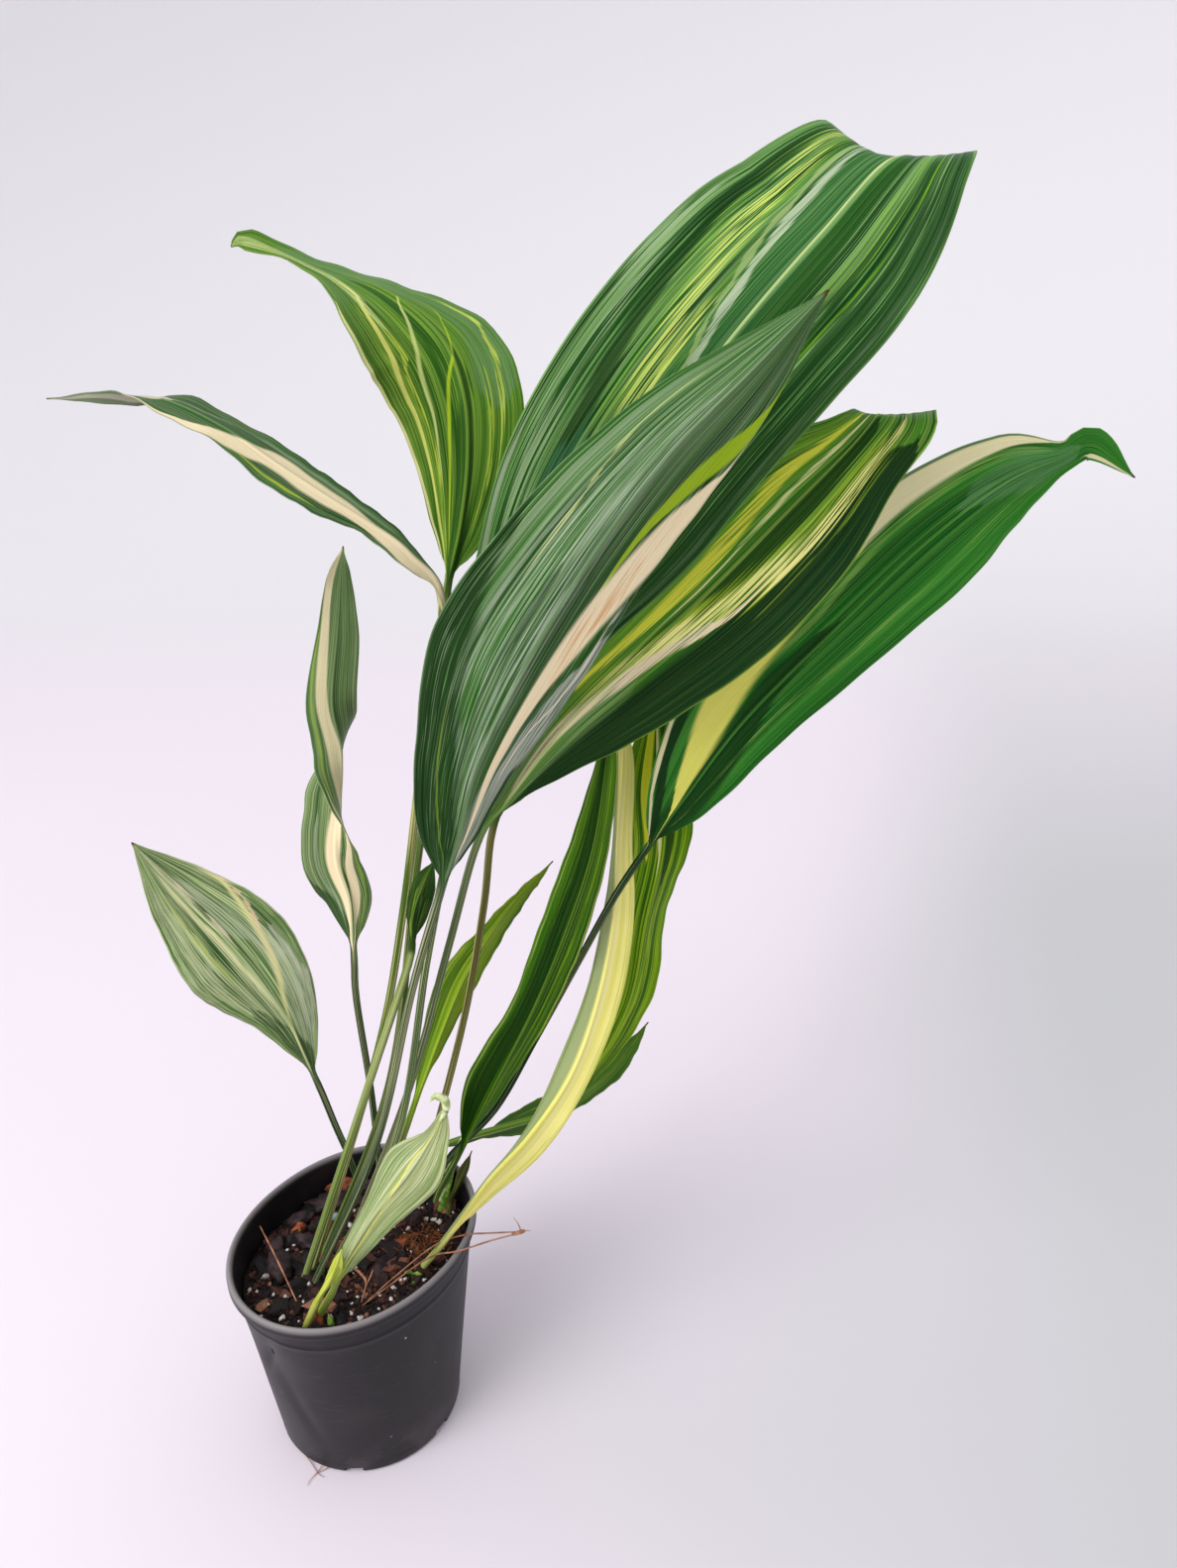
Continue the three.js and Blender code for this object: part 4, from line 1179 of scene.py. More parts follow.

# %% [markdown]
# ### Sixteen leaves and two sheaths, each with its own look
#
# No two leaves of this plant are striped alike, so each has its own list, read from the photo in the
# leaf's own terms. The large front blade has a painted grey sheen and one broad peach stripe. The tall
# one behind it has fine lime flecks, and the young ones are pale all over. A band's last numbers say how
# well it covers and how far its edge frays.

# %% Looks of the wide blades
LOOKS = {}
LOOKS["leaf_top"] = look((44, 106, 38), (16, 68, 26), (150, 190, 122), [
    band((66, 120, 70), [(0.3, 0.05, 0.2), (0.5, -0.05, 0.22), (0.7, -0.2, 0.2), (0.9, -0.3, 0.24)], 0.5,
         0.12),
    band((14, 68, 18), [(0.3, 0.66, 0.4), (0.5, 0.7, 0.38), (0.66, 0.74, 0.34), (0.8, 0.76, 0.3)], 0.8,
         0.1, flecks=0.02),
    band((20, 66, 22), [(0.4, -0.55, 0.08), (0.6, -0.72, 0.05), (0.75, -0.84, 0.04)], 0.75, 0.08),
    band((172, 200, 152), [(0.08, -0.5, 0.1), (0.22, -0.62, 0.1), (0.36, -0.74, 0.1), (0.5, -0.84, 0.08),
         (0.62, -0.92, 0.06)], 0.8, 0.06, flecks=0.6),
    band((88, 150, 110), [(0.1, -0.2, 0.2), (0.25, -0.34, 0.2), (0.4, -0.5, 0.12)], 0.5, 0.1,
         flecks=0.3),
    band((150, 198, 84), [(0.35, -0.2, 0.12), (0.5, -0.34, 0.18), (0.62, -0.5, 0.2), (0.74, -0.66, 0.16),
         (0.84, -0.78, 0.1)], 0.6, 0.14, flecks=0.62),
    band((214, 230, 128), [(0.35, -0.14, 0.03), (0.45, -0.24, 0.06), (0.55, -0.37, 0.09),
         (0.65, -0.54, 0.09), (0.74, -0.66, 0.08), (0.82, -0.76, 0.05)], 0.95, 0.14, flecks=0.62),
    band((192, 208, 176), [(0.42, 0.02, 0.02), (0.52, -0.1, 0.025), (0.6, -0.21, 0.03),
         (0.7, -0.33, 0.035), (0.8, -0.41, 0.03), (0.88, -0.45, 0.02)], 0.9, 0.04, flecks=0.1),
    band((166, 190, 128), [(0.5, -0.14, 0.01), (0.6, -0.28, 0.018), (0.7, -0.41, 0.02),
         (0.8, -0.48, 0.015)], 0.8, 0.04),
    band((210, 220, 160), [(0.46, 0.0, 0.008), (0.6, -0.01, 0.014), (0.75, -0.03, 0.014),
         (0.85, -0.05, 0.008)], 0.9, 0.02),
    band((26, 84, 16), [(0.4, 0.18, 0.1), (0.6, 0.16, 0.08), (0.8, 0.12, 0.06)], 0.75, 0.08),
    band((150, 196, 66), [(0.45, 0.3, 0.08), (0.6, 0.36, 0.07), (0.75, 0.4, 0.06), (0.84, 0.42, 0.04)],
         0.8, 0.12, flecks=0.8),
    band((122, 174, 26), [(0.4, 0.52, 0.02), (0.6, 0.54, 0.03), (0.75, 0.56, 0.03), (0.82, 0.57, 0.02)],
         0.8, 0.06, flecks=0.4),
    band(SILVER, [(0.2, 0.92, 0.012), (0.78, 0.9, 0.014)], 0.25, 0.03, flecks=0.4),
    band((176, 194, 160), [(0.1, -0.86, 0.03), (0.25, -0.9, 0.03), (0.4, -0.95, 0.02)], 0.85, 0.03),
], stem=((70, 98, 62), (140, 158, 110)), streaks=0.7, fine=1.15)
LOOKS["leaf_front"] = look((60, 114, 38), (24, 74, 20), (154, 178, 138), [
    band((20, 62, 14), [(0.0, -0.2, 1.1), (0.1, -0.45, 0.65), (0.2, -0.64, 0.48), (0.32, -0.8, 0.4),
         (0.44, -0.9, 0.3), (0.54, -1.0, 0.15)], 0.88, 0.1, flecks=0.08),
    # Painted sheen: a flecked grey band in the middle of the blade.
    band((204, 212, 198), [(0.22, -0.14, 0.12), (0.32, -0.18, 0.26), (0.42, -0.22, 0.36),
         (0.54, -0.24, 0.36), (0.66, -0.2, 0.28), (0.76, -0.14, 0.18)], 0.42, 0.14, flecks=0.75),
    band((24, 66, 20), [(0.12, -0.1, 0.1), (0.22, -0.2, 0.06), (0.36, -0.26, 0.06), (0.5, -0.2, 0.05)],
         0.65, 0.1, flecks=0.2),
    # Painted sheen: a pale grey band on the right half near the base.
    band((192, 196, 184), [(0.04, 0.6, 0.3), (0.12, 0.5, 0.36), (0.2, 0.56, 0.34), (0.3, 0.7, 0.24),
         (0.4, 0.82, 0.18), (0.48, 0.93, 0.08)], 0.85, 0.08, flecks=0.2),
    band((24, 66, 24), [(0.02, 1.0, 0.4), (0.12, 1.0, 0.2), (0.26, 1.0, 0.1)], 0.85, 0.08),
    band((174, 204, 44), [(0.56, 0.46, 0.02), (0.62, 0.49, 0.05), (0.7, 0.62, 0.11), (0.76, 0.76, 0.14),
         (0.82, 0.92, 0.1), (0.87, 0.99, 0.03)], 0.97, 0.02),
    band((255, 242, 204), [(0.12, 0.4, 0.04), (0.2, 0.43, 0.07), (0.3, 0.42, 0.09), (0.4, 0.44, 0.12),
         (0.5, 0.58, 0.2), (0.58, 0.76, 0.23), (0.65, 0.86, 0.2), (0.7, 0.93, 0.13), (0.76, 1.0, 0.04)],
         1.0, 0.02),
    band((232, 160, 84), [(0.46, 0.56, 0.07), (0.54, 0.68, 0.1), (0.61, 0.8, 0.08)], 0.7, 0.12,
         flecks=0.66),
    band((44, 100, 30), [(0.26, 0.56, 0.02), (0.38, 0.62, 0.04), (0.48, 0.84, 0.05), (0.53, 0.97, 0.03)],
         0.85, 0.04, flecks=0.1),
    band((240, 234, 214), [(0.3, 0.7, 0.02), (0.45, 0.9, 0.02)], 0.7, 0.02),
    band((176, 198, 56), [(0.06, -0.3, 0.012), (0.14, -0.46, 0.02), (0.24, -0.58, 0.02),
         (0.32, -0.64, 0.012)], 0.4, 0.01, flecks=0.2),
    band((210, 216, 150), [(0.56, -0.5, 0.012), (0.72, -0.66, 0.014), (0.86, -0.7, 0.012)], 0.6, 0.04,
         flecks=0.2),
], stem=((72, 92, 66), (128, 140, 104)), streaks=0.7, fine=0.85, rib=0.5, gloss=0.26, relief=0.5)
LOOKS["leaf_striped"] = look((76, 144, 46), (36, 98, 32), (176, 212, 104), [
    # Painted sheen: a pale grey-green band across the base of the blade.
    band((172, 188, 150), [(0.02, 0.0, 0.8), (0.1, 0.05, 0.7), (0.2, 0.1, 0.4), (0.28, 0.2, 0.2)], 0.5,
         0.1, flecks=0.5),
    band((2, 58, 26), [(0.16, 0.8, 0.36), (0.34, 0.78, 0.42), (0.5, 0.78, 0.36), (0.68, 0.8, 0.3)], 0.97,
         0.08),
    band((16, 56, 20), [(0.3, 0.5, 0.08), (0.42, 0.55, 0.1), (0.55, 0.66, 0.06)], 0.7, 0.08),
    band((140, 188, 44), [(0.24, -0.4, 0.2), (0.4, -0.4, 0.22), (0.55, -0.5, 0.26), (0.7, -0.6, 0.24)],
         0.6, 0.14, flecks=0.4),
    band((236, 240, 92), [(0.24, -0.3, 0.03), (0.34, -0.24, 0.05), (0.42, -0.22, 0.07),
         (0.5, -0.28, 0.08), (0.6, -0.42, 0.08), (0.7, -0.52, 0.07)], 0.95, 0.06, flecks=0.05),
    band((238, 242, 178), [(0.42, -0.08, 0.012), (0.5, -0.12, 0.02), (0.6, -0.18, 0.035),
         (0.7, -0.26, 0.04)], 0.9, 0.04, flecks=0.05),
    band((16, 66, 16), [(0.36, 0.02, 0.05), (0.48, 0.1, 0.1), (0.58, 0.1, 0.13), (0.7, 0.04, 0.13)],
         0.85, 0.08),
    band((176, 204, 62), [(0.26, -0.1, 0.06), (0.36, 0.06, 0.12), (0.46, 0.28, 0.17), (0.56, 0.4, 0.15),
         (0.7, 0.42, 0.13)], 0.8, 0.14, flecks=0.4),
    band((252, 250, 168), [(0.3, -0.02, 0.05), (0.38, 0.12, 0.08), (0.46, 0.3, 0.11), (0.54, 0.42, 0.1),
         (0.64, 0.45, 0.09), (0.74, 0.44, 0.07)], 0.97, 0.12, flecks=0.45),
    band((248, 234, 200), [(0.16, -0.02, 0.07), (0.24, 0.02, 0.09), (0.32, 0.12, 0.08),
         (0.4, 0.28, 0.05), (0.46, 0.4, 0.02)], 0.97, 0.05, flecks=0.1),
    band((26, 70, 26), [(0.14, 0.75, 0.25), (0.3, 0.72, 0.1)], 0.6, 0.1, flecks=0.2),
    band((158, 186, 66), [(0.5, 0.6, 0.012), (0.66, 0.66, 0.014)], 0.6, 0.04, flecks=0.3),
], stem=((96, 116, 80), (150, 160, 120)), streaks=0.5, fine=1.0)
LOOKS["leaf_right"] = look((46, 130, 44), (20, 88, 30), (116, 182, 84), [
    band((10, 58, 18), [(0.0, 0.2, 1.0), (0.1, 0.3, 0.6), (0.22, 0.2, 0.3), (0.32, -0.05, 0.16)], 0.8,
         0.1),
    band((240, 238, 128), [(0.08, -0.06, 0.02), (0.14, -0.2, 0.14), (0.22, -0.36, 0.24),
         (0.3, -0.55, 0.25), (0.42, -0.7, 0.2)], 0.97, 0.03),
    band((12, 52, 20), [(0.05, -0.5, 0.2), (0.12, -0.66, 0.14), (0.19, -0.82, 0.08)], 0.9, 0.06),
    band(CREAM, [(0.04, -0.8, 0.06), (0.14, -0.9, 0.05), (0.24, -0.95, 0.03)], 0.9, 0.04),
    band((246, 240, 196), [(0.42, -0.74, 0.18), (0.5, -0.78, 0.19), (0.6, -0.8, 0.16),
         (0.68, -0.86, 0.11), (0.75, -0.95, 0.04)], 0.97, 0.03),
    band((122, 142, 112), [(0.42, -0.98, 0.03), (0.6, -0.98, 0.03), (0.72, -0.98, 0.03)], 0.8, 0.03),
    band((154, 192, 104), [(0.34, -0.3, 0.03), (0.46, -0.46, 0.06), (0.56, -0.52, 0.07),
         (0.68, -0.55, 0.08)], 0.7, 0.1, flecks=0.3),
    band((128, 166, 124), [(0.6, -0.1, 0.3), (0.7, 0.0, 0.6), (0.76, 0.0, 0.6)], 0.5, 0.12, flecks=0.3),
    band((160, 196, 106), [(0.12, 0.44, 0.02), (0.25, 0.46, 0.04), (0.38, 0.6, 0.05), (0.5, 0.56, 0.04),
         (0.62, 0.5, 0.03)], 0.85, 0.1, flecks=0.68),
    band(CREAM, [(0.86, 0.72, 0.1), (0.93, 0.7, 0.16)], 0.85, 0.05),
], stem=((22, 60, 30), (44, 86, 42)), streaks=0.5, fine=1.1, relief=0.45)
LOOKS["leaf_arched"] = look((84, 130, 44), (40, 94, 26), (152, 184, 84), [
    band((24, 78, 20), [(0.02, 0.1, 0.5), (0.12, 0.0, 0.24), (0.3, -0.02, 0.14), (0.42, 0.1, 0.08)], 0.7,
         0.1),
    # Painted sheen: a grey-green band on the upper right of the blade.
    band((116, 148, 112), [(0.4, 0.6, 0.36), (0.52, 0.75, 0.3), (0.66, 0.5, 0.5), (0.76, 0.2, 0.8)], 0.6,
         0.1, flecks=0.15),
    band((228, 226, 168), [(0.06, -0.9, 0.05), (0.2, -0.96, 0.035), (0.4, -0.98, 0.025),
         (0.6, -0.97, 0.025)], 0.9, 0.02),
    band((164, 192, 80), [(0.08, -0.6, 0.09), (0.3, -0.64, 0.1), (0.45, -0.66, 0.1), (0.6, -0.6, 0.1),
         (0.7, -0.5, 0.1)], 0.55, 0.08, flecks=0.4),
    band((216, 220, 128), [(0.08, -0.66, 0.035), (0.2, -0.7, 0.025), (0.3, -0.71, 0.028),
         (0.4, -0.72, 0.03), (0.5, -0.66, 0.032), (0.6, -0.58, 0.035), (0.68, -0.44, 0.02)], 0.95,
         0.015),
    band((190, 206, 90), [(0.12, -0.5, 0.02), (0.3, -0.58, 0.022), (0.42, -0.6, 0.022),
         (0.54, -0.5, 0.02)], 0.85, 0.06, flecks=0.15),
    band((208, 218, 146), [(0.24, -0.5, 0.012), (0.33, -0.47, 0.022), (0.42, -0.45, 0.028),
         (0.5, -0.34, 0.026), (0.58, -0.12, 0.018), (0.64, 0.06, 0.006)], 0.8, 0.006, edge=0.6),
    band((190, 212, 56), [(0.12, -0.36, 0.022), (0.22, -0.33, 0.022), (0.32, -0.26, 0.025),
         (0.4, -0.16, 0.024), (0.46, 0.02, 0.02), (0.52, 0.24, 0.014), (0.57, 0.46, 0.006)], 0.75, 0.006,
         edge=0.6),
    band((182, 206, 86), [(0.16, 0.4, 0.02), (0.24, 0.44, 0.036), (0.32, 0.44, 0.042),
         (0.38, 0.46, 0.02)], 0.85, 0.08, flecks=0.35),
    band((202, 216, 110), [(0.22, 0.6, 0.015), (0.3, 0.61, 0.025), (0.4, 0.68, 0.042),
         (0.47, 0.76, 0.035), (0.52, 0.84, 0.02)], 0.9, 0.08, flecks=0.25),
    band((200, 212, 150), [(0.6, -0.5, 0.03), (0.74, -0.4, 0.16), (0.86, -0.2, 0.4), (0.97, 0.0, 0.6)],
         0.75, 0.04, flecks=0.3),
], stem=((84, 112, 52), (126, 146, 80)), streaks=0.6, fine=0.9, under=(120, 144, 96))
LOOKS["leaf_far_left"] = look((58, 106, 46), (30, 76, 30), (150, 168, 132), [
    band((234, 222, 188), [(0.0, -0.4, 0.6), (0.08, -0.5, 0.5), (0.16, -0.42, 0.44), (0.25, -0.18, 0.42),
         (0.33, 0.0, 0.42), (0.42, 0.0, 0.42), (0.5, 0.08, 0.4), (0.56, -0.24, 0.4), (0.62, -0.6, 0.36),
         (0.7, -0.92, 0.14), (0.76, -1.0, 0.1)], 1.0, 0.03),
    band((176, 196, 70), [(0.4, -0.7, 0.03), (0.46, -0.72, 0.07), (0.52, -0.72, 0.06),
         (0.56, -0.74, 0.03)], 0.9, 0.06, flecks=0.1),
    band((150, 166, 140), [(0.15, 0.6, 0.05), (0.4, 0.68, 0.06), (0.6, 0.6, 0.06), (0.7, 0.3, 0.06)],
         0.7, 0.06, flecks=0.25),
    band((214, 208, 186), [(0.8, 0.2, 0.5), (0.9, -0.3, 0.4), (0.97, 0.0, 0.4)], 0.85, 0.06),
], stem=((92, 120, 52), (196, 190, 134)), streaks=0.5, fine=0.6, under=(150, 158, 136))
print("wide blades with a look:", len(LOOKS))

# %% Looks of the pale leaves at the left and in front
LOOKS["leaf_twisted"] = look((100, 132, 78), (66, 100, 52), (178, 192, 148), [
    band((40, 80, 36), [(0.0, -0.5, 0.8), (0.08, -0.75, 0.5), (0.16, -0.95, 0.25)], 0.75, 0.08),
    band((176, 186, 160), [(0.1, -0.5, 0.05), (0.2, -0.55, 0.08), (0.3, -0.6, 0.06)], 0.6, 0.06,
         flecks=0.15),
    band((248, 234, 198), [(0.03, -0.1, 0.08), (0.1, -0.14, 0.14), (0.2, -0.12, 0.2), (0.3, -0.04, 0.24),
         (0.4, 0.1, 0.26), (0.5, 0.24, 0.24), (0.6, 0.34, 0.22), (0.7, 0.52, 0.22), (0.8, 0.68, 0.2),
         (0.9, 0.72, 0.26), (0.97, 0.7, 0.3)], 1.0, 0.03),
    band((238, 226, 190), [(0.06, 0.14, 0.08), (0.1, 0.22, 0.15), (0.16, 0.34, 0.2), (0.22, 0.46, 0.18),
         (0.3, 0.66, 0.12), (0.38, 0.84, 0.06)], 1.0, 0.03),
    band((78, 116, 50), [(0.06, 0.02, 0.015), (0.14, 0.06, 0.025), (0.24, 0.2, 0.03), (0.34, 0.4, 0.04)],
         0.9, 0.03),
    band((150, 180, 80), [(0.08, 0.62, 0.06), (0.16, 0.76, 0.06), (0.24, 0.86, 0.05)], 0.85, 0.04,
         flecks=0.1),
    band((172, 194, 92), [(0.42, 0.72, 0.04), (0.52, 0.74, 0.05), (0.62, 0.78, 0.05), (0.7, 0.88, 0.04)],
         0.8, 0.04),
    band((74, 116, 58), [(0.44, 0.94, 0.06), (0.58, 0.95, 0.05), (0.68, 0.97, 0.04)], 0.7, 0.04),
    band((40, 82, 38), [(0.5, -0.3, 0.14), (0.62, -0.2, 0.16), (0.78, 0.0, 0.2), (0.9, 0.1, 0.2)], 0.35,
         0.08, flecks=0.3),
], stem=((46, 70, 40), (84, 104, 62)), streaks=0.7, fine=0.6, under=(104, 134, 84), under_cover=0.3)
LOOKS["leaf_low_left"] = look((102, 136, 78), (58, 96, 46), (208, 218, 172), [
    band((204, 208, 188), [(0.2, 0.75, 0.22), (0.35, 0.78, 0.2), (0.5, 0.72, 0.16)], 0.6, 0.12,
         flecks=0.3),
    band((178, 188, 166), [(0.12, 0.4, 0.3), (0.3, 0.5, 0.3), (0.5, 0.55, 0.24), (0.6, 0.3, 0.2),
         (0.8, 0.2, 0.2)], 0.5, 0.1, flecks=0.3),
    band((42, 80, 34), [(0.0, 0.0, 1.1), (0.08, 0.0, 0.8), (0.16, -0.3, 0.45), (0.26, -0.55, 0.2)], 0.8,
         0.14, flecks=0.1),
    band((200, 210, 170), [(0.45, -0.8, 0.2), (0.6, -0.66, 0.3), (0.8, -0.6, 0.3)], 0.55, 0.12,
         flecks=0.5),
    band((222, 222, 176), [(0.26, -0.1, 0.02), (0.4, -0.12, 0.04), (0.55, -0.12, 0.05),
         (0.7, -0.14, 0.06), (0.85, -0.16, 0.06)], 0.85, 0.02, flecks=0.2),
    band((180, 196, 108), [(0.45, -0.38, 0.02), (0.6, -0.4, 0.035), (0.8, -0.44, 0.04)], 0.65, 0.1,
         flecks=0.4),
    band((230, 226, 192), [(0.56, 0.02, 0.02), (0.68, 0.03, 0.06), (0.8, 0.06, 0.09), (0.92, 0.04, 0.1)],
         0.7, 0.08, flecks=0.3),
    band((226, 224, 166), [(0.08, -0.02, 0.014), (0.2, 0.05, 0.036), (0.3, 0.19, 0.052),
         (0.4, 0.36, 0.06), (0.5, 0.47, 0.055), (0.6, 0.57, 0.052), (0.7, 0.74, 0.05),
         (0.78, 0.9, 0.03)], 0.8, 0.008, edge=0.8),
    band((234, 212, 176), [(0.48, 0.48, 0.02), (0.6, 0.64, 0.028), (0.7, 0.84, 0.03),
         (0.78, 0.97, 0.02)], 0.7, 0.06),
    band((98, 134, 70), [(0.42, 0.92, 0.08), (0.58, 0.88, 0.12), (0.7, 0.97, 0.06)], 0.75, 0.1,
         flecks=0.15),
], stem=((38, 68, 40), (64, 92, 56)), streaks=0.85, fine=0.8, under=(160, 178, 140))
LOOKS["leaf_young"] = look((158, 174, 112), (118, 142, 80), (224, 228, 190), [
    band((222, 222, 120), [(0.0, 0.0, 0.3), (0.1, 0.1, 0.12), (0.25, 0.22, 0.045), (0.4, 0.14, 0.04),
         (0.52, 0.0, 0.035), (0.66, -0.14, 0.04), (0.78, -0.02, 0.04), (0.9, 0.1, 0.04)], 0.9, 0.06),
    band((112, 150, 86), [(0.2, 0.62, 0.05), (0.5, 0.6, 0.06), (0.75, 0.66, 0.05)], 0.6, 0.12,
         flecks=0.4),
    band((120, 154, 92), [(0.3, -0.5, 0.2), (0.6, -0.6, 0.22), (0.8, -0.5, 0.15)], 0.5, 0.14,
         flecks=0.5),
    band((236, 236, 206), [(0.2, -0.2, 0.02), (0.5, -0.3, 0.025), (0.8, -0.2, 0.02)], 0.7, 0.08,
         flecks=0.2),
    band((166, 198, 84), [(0.0, 0.0, 0.9), (0.12, 0.0, 0.6)], 0.6, 0.1),
], stem=((150, 178, 76), (196, 208, 118)), streaks=0.75, fine=0.8, rib=0.3, under=(176, 190, 148))
print("looks so far:", len(LOOKS))

# %% Looks of the narrow leaves at the right and of the sheaths
LOOKS["leaf_strap"] = look((66, 122, 14), (28, 86, 12), (150, 188, 60), [
    band((8, 62, 12), [(0.05, -0.5, 0.4), (0.2, -0.42, 0.34), (0.35, -0.34, 0.34), (0.5, -0.26, 0.34),
         (0.75, -0.2, 0.32), (0.95, -0.15, 0.3)], 0.9, 0.06),
    band((176, 196, 120), [(0.1, -0.9, 0.03), (0.5, -0.88, 0.03), (0.85, -0.86, 0.03)], 0.8, 0.04,
         flecks=0.1),
    band((120, 160, 40), [(0.2, -0.6, 0.03), (0.5, -0.5, 0.03), (0.8, -0.46, 0.03)], 0.6, 0.08,
         flecks=0.4),
    band((158, 192, 34), [(0.1, 0.3, 0.05), (0.4, 0.46, 0.06), (0.85, 0.54, 0.05)], 0.7, 0.1,
         flecks=0.4),
    band((196, 210, 108), [(0.3, 0.93, 0.03), (0.85, 0.95, 0.03)], 0.7, 0.04),
], stem=((86, 120, 56), (140, 164, 92)), streaks=0.45, fine=0.6, under=(112, 144, 70))
LOOKS["leaf_lime"] = look((248, 242, 150), (230, 228, 118), (252, 248, 196), [
    band((140, 162, 126), [(0.05, -0.6, 0.42), (0.2, -0.62, 0.46), (0.45, -0.62, 0.46),
         (0.7, -0.66, 0.44), (0.85, -0.8, 0.28)], 0.85, 0.05),
    band((96, 130, 84), [(0.05, -0.9, 0.08), (0.3, -0.84, 0.06), (0.6, -0.88, 0.06), (0.8, -0.92, 0.05)],
         0.6, 0.06, flecks=0.3),
    band((186, 198, 154), [(0.2, -0.14, 0.02), (0.5, -0.12, 0.02), (0.8, -0.12, 0.02)], 0.6, 0.04),
    band((242, 238, 184), [(0.15, 0.3, 0.08), (0.5, 0.2, 0.1), (0.8, 0.1, 0.12)], 0.5, 0.06),
    band((186, 206, 70), [(0.1, 0.8, 0.1), (0.4, 0.85, 0.08), (0.7, 0.8, 0.08)], 0.5, 0.08, flecks=0.4),
], stem=((168, 184, 92), (198, 206, 130)), streaks=0.4, fine=0.5, rib=0.05, under=(150, 168, 130),
   relief=0.25)
LOOKS["leaf_wavy"] = look((94, 146, 6), (46, 104, 4), (184, 210, 54), [
    band((178, 206, 50), [(0.15, 0.2, 0.05), (0.4, 0.35, 0.06), (0.7, 0.45, 0.06), (0.9, 0.4, 0.05)],
         0.75, 0.12, flecks=0.4),
    band((176, 204, 60), [(0.2, 0.75, 0.04), (0.5, 0.8, 0.045), (0.8, 0.72, 0.035)], 0.65, 0.1,
         flecks=0.4),
    band((196, 214, 84), [(0.2, -0.5, 0.03), (0.45, -0.44, 0.04), (0.7, -0.6, 0.03)], 0.7, 0.1,
         flecks=0.45),
    band(NIGHT, [(0.0, 0.5, 0.3), (0.12, 0.6, 0.25), (0.24, 0.8, 0.1)], 0.5, 0.1, flecks=0.2),
    band((226, 228, 70), [(0.7, -0.34, 0.07), (0.84, -0.34, 0.12), (0.97, -0.3, 0.14)], 0.9, 0.05),
    band(CREAM, [(0.66, -0.02, 0.03), (0.8, -0.06, 0.05), (0.95, -0.06, 0.05)], 0.95, 0.04),
    band((20, 70, 10), [(0.62, 0.3, 0.1), (0.8, 0.32, 0.16), (0.95, 0.34, 0.2)], 0.85, 0.05),
    band((110, 158, 60), [(0.66, -0.8, 0.12), (0.85, -0.8, 0.14)], 0.7, 0.08, flecks=0.3),
], stem=((92, 132, 44), (134, 164, 72)), streaks=0.6, fine=0.7, under=(120, 154, 62))
LOOKS["leaf_slim_right"] = look((72, 126, 26), (40, 90, 30), (152, 184, 78), [
    band((76, 108, 66), [(0.0, 0.0, 0.9), (0.3, 0.0, 0.9), (0.42, 0.0, 0.5)], 0.7, 0.1),
    band(LIME, [(0.5, 0.2, 0.1), (0.9, 0.1, 0.1)], 0.5, 0.1, flecks=0.4),
    band((190, 206, 120), [(0.3, -0.5, 0.03), (0.7, -0.45, 0.03)], 0.6, 0.08, flecks=0.3),
], stem=((66, 96, 52), (96, 124, 70)), streaks=0.5, fine=0.4, under=(104, 132, 84))
LOOKS["leaf_slim_middle"] = look((124, 162, 36), (78, 126, 28), (192, 210, 84), [
    band((166, 188, 70), [(0.05, 0.3, 0.04), (0.2, 0.5, 0.045), (0.4, 0.75, 0.04)], 0.7, 0.06),
    band(LIME, [(0.4, 0.2, 0.07), (0.7, 0.35, 0.09), (0.9, 0.3, 0.08)], 0.6, 0.12, flecks=0.4),
    band((36, 84, 20), [(0.05, -0.6, 0.16), (0.2, -0.5, 0.14), (0.5, -0.4, 0.08)], 0.6, 0.1),
    band((200, 212, 120), [(0.1, -0.9, 0.03), (0.5, -0.86, 0.03)], 0.7, 0.04),
], stem=((84, 104, 48), (118, 130, 66)), streaks=0.55, fine=0.45, under=(116, 144, 72))
LOOKS["leaf_folded"] = look((36, 78, 24), (20, 56, 22), (134, 160, 66), [
    band((134, 158, 58), [(0.2, -0.1, 0.1), (0.45, -0.2, 0.08), (0.6, -0.35, 0.03)], 0.85, 0.06),
    band((92, 128, 40), [(0.3, 0.3, 0.04), (0.75, 0.1, 0.04)], 0.6, 0.1),
], stem=((112, 136, 66), (156, 172, 108)), streaks=0.35, fine=0.35)
LOOKS["leaf_behind"] = look((60, 104, 44), DEEP, (140, 160, 92), [
    band(YELLOW, [(0.2, 0.3, 0.1), (0.6, 0.4, 0.14), (0.85, 0.3, 0.1)], 0.8, 0.08, flecks=0.2),
], stem=((104, 104, 58), (142, 138, 82)), streaks=0.5, fine=0.6)
LOOKS["sheath_right"] = look((76, 88, 42), (52, 60, 34), (130, 134, 80), [],
    stem=((84, 94, 50), (116, 118, 70)), streaks=0.5, fine=0.4, under=(90, 94, 60))
LOOKS["sheath_front"] = look((196, 208, 84), (168, 186, 64), (222, 226, 140), [
    band((150, 172, 96), [(0.1, 0.5, 0.3), (0.6, 0.5, 0.3)], 0.6, 0.1),
], stem=((190, 202, 90), (208, 214, 116)), streaks=0.5, fine=0.35, rib=0.2, under=(180, 192, 110))
print("all looks:", len(LOOKS))

for number, (name, leaf) in enumerate(LEAF_ROWS.items()):
    finish = leaf_finish(name + "_finish", LOOKS[name], 10.0 * number)
    blade = seat(name + "_blade", leaf_mesh(name, leaf), finish, [name])
    print(name, "faces:", len(blade.data.polygons))

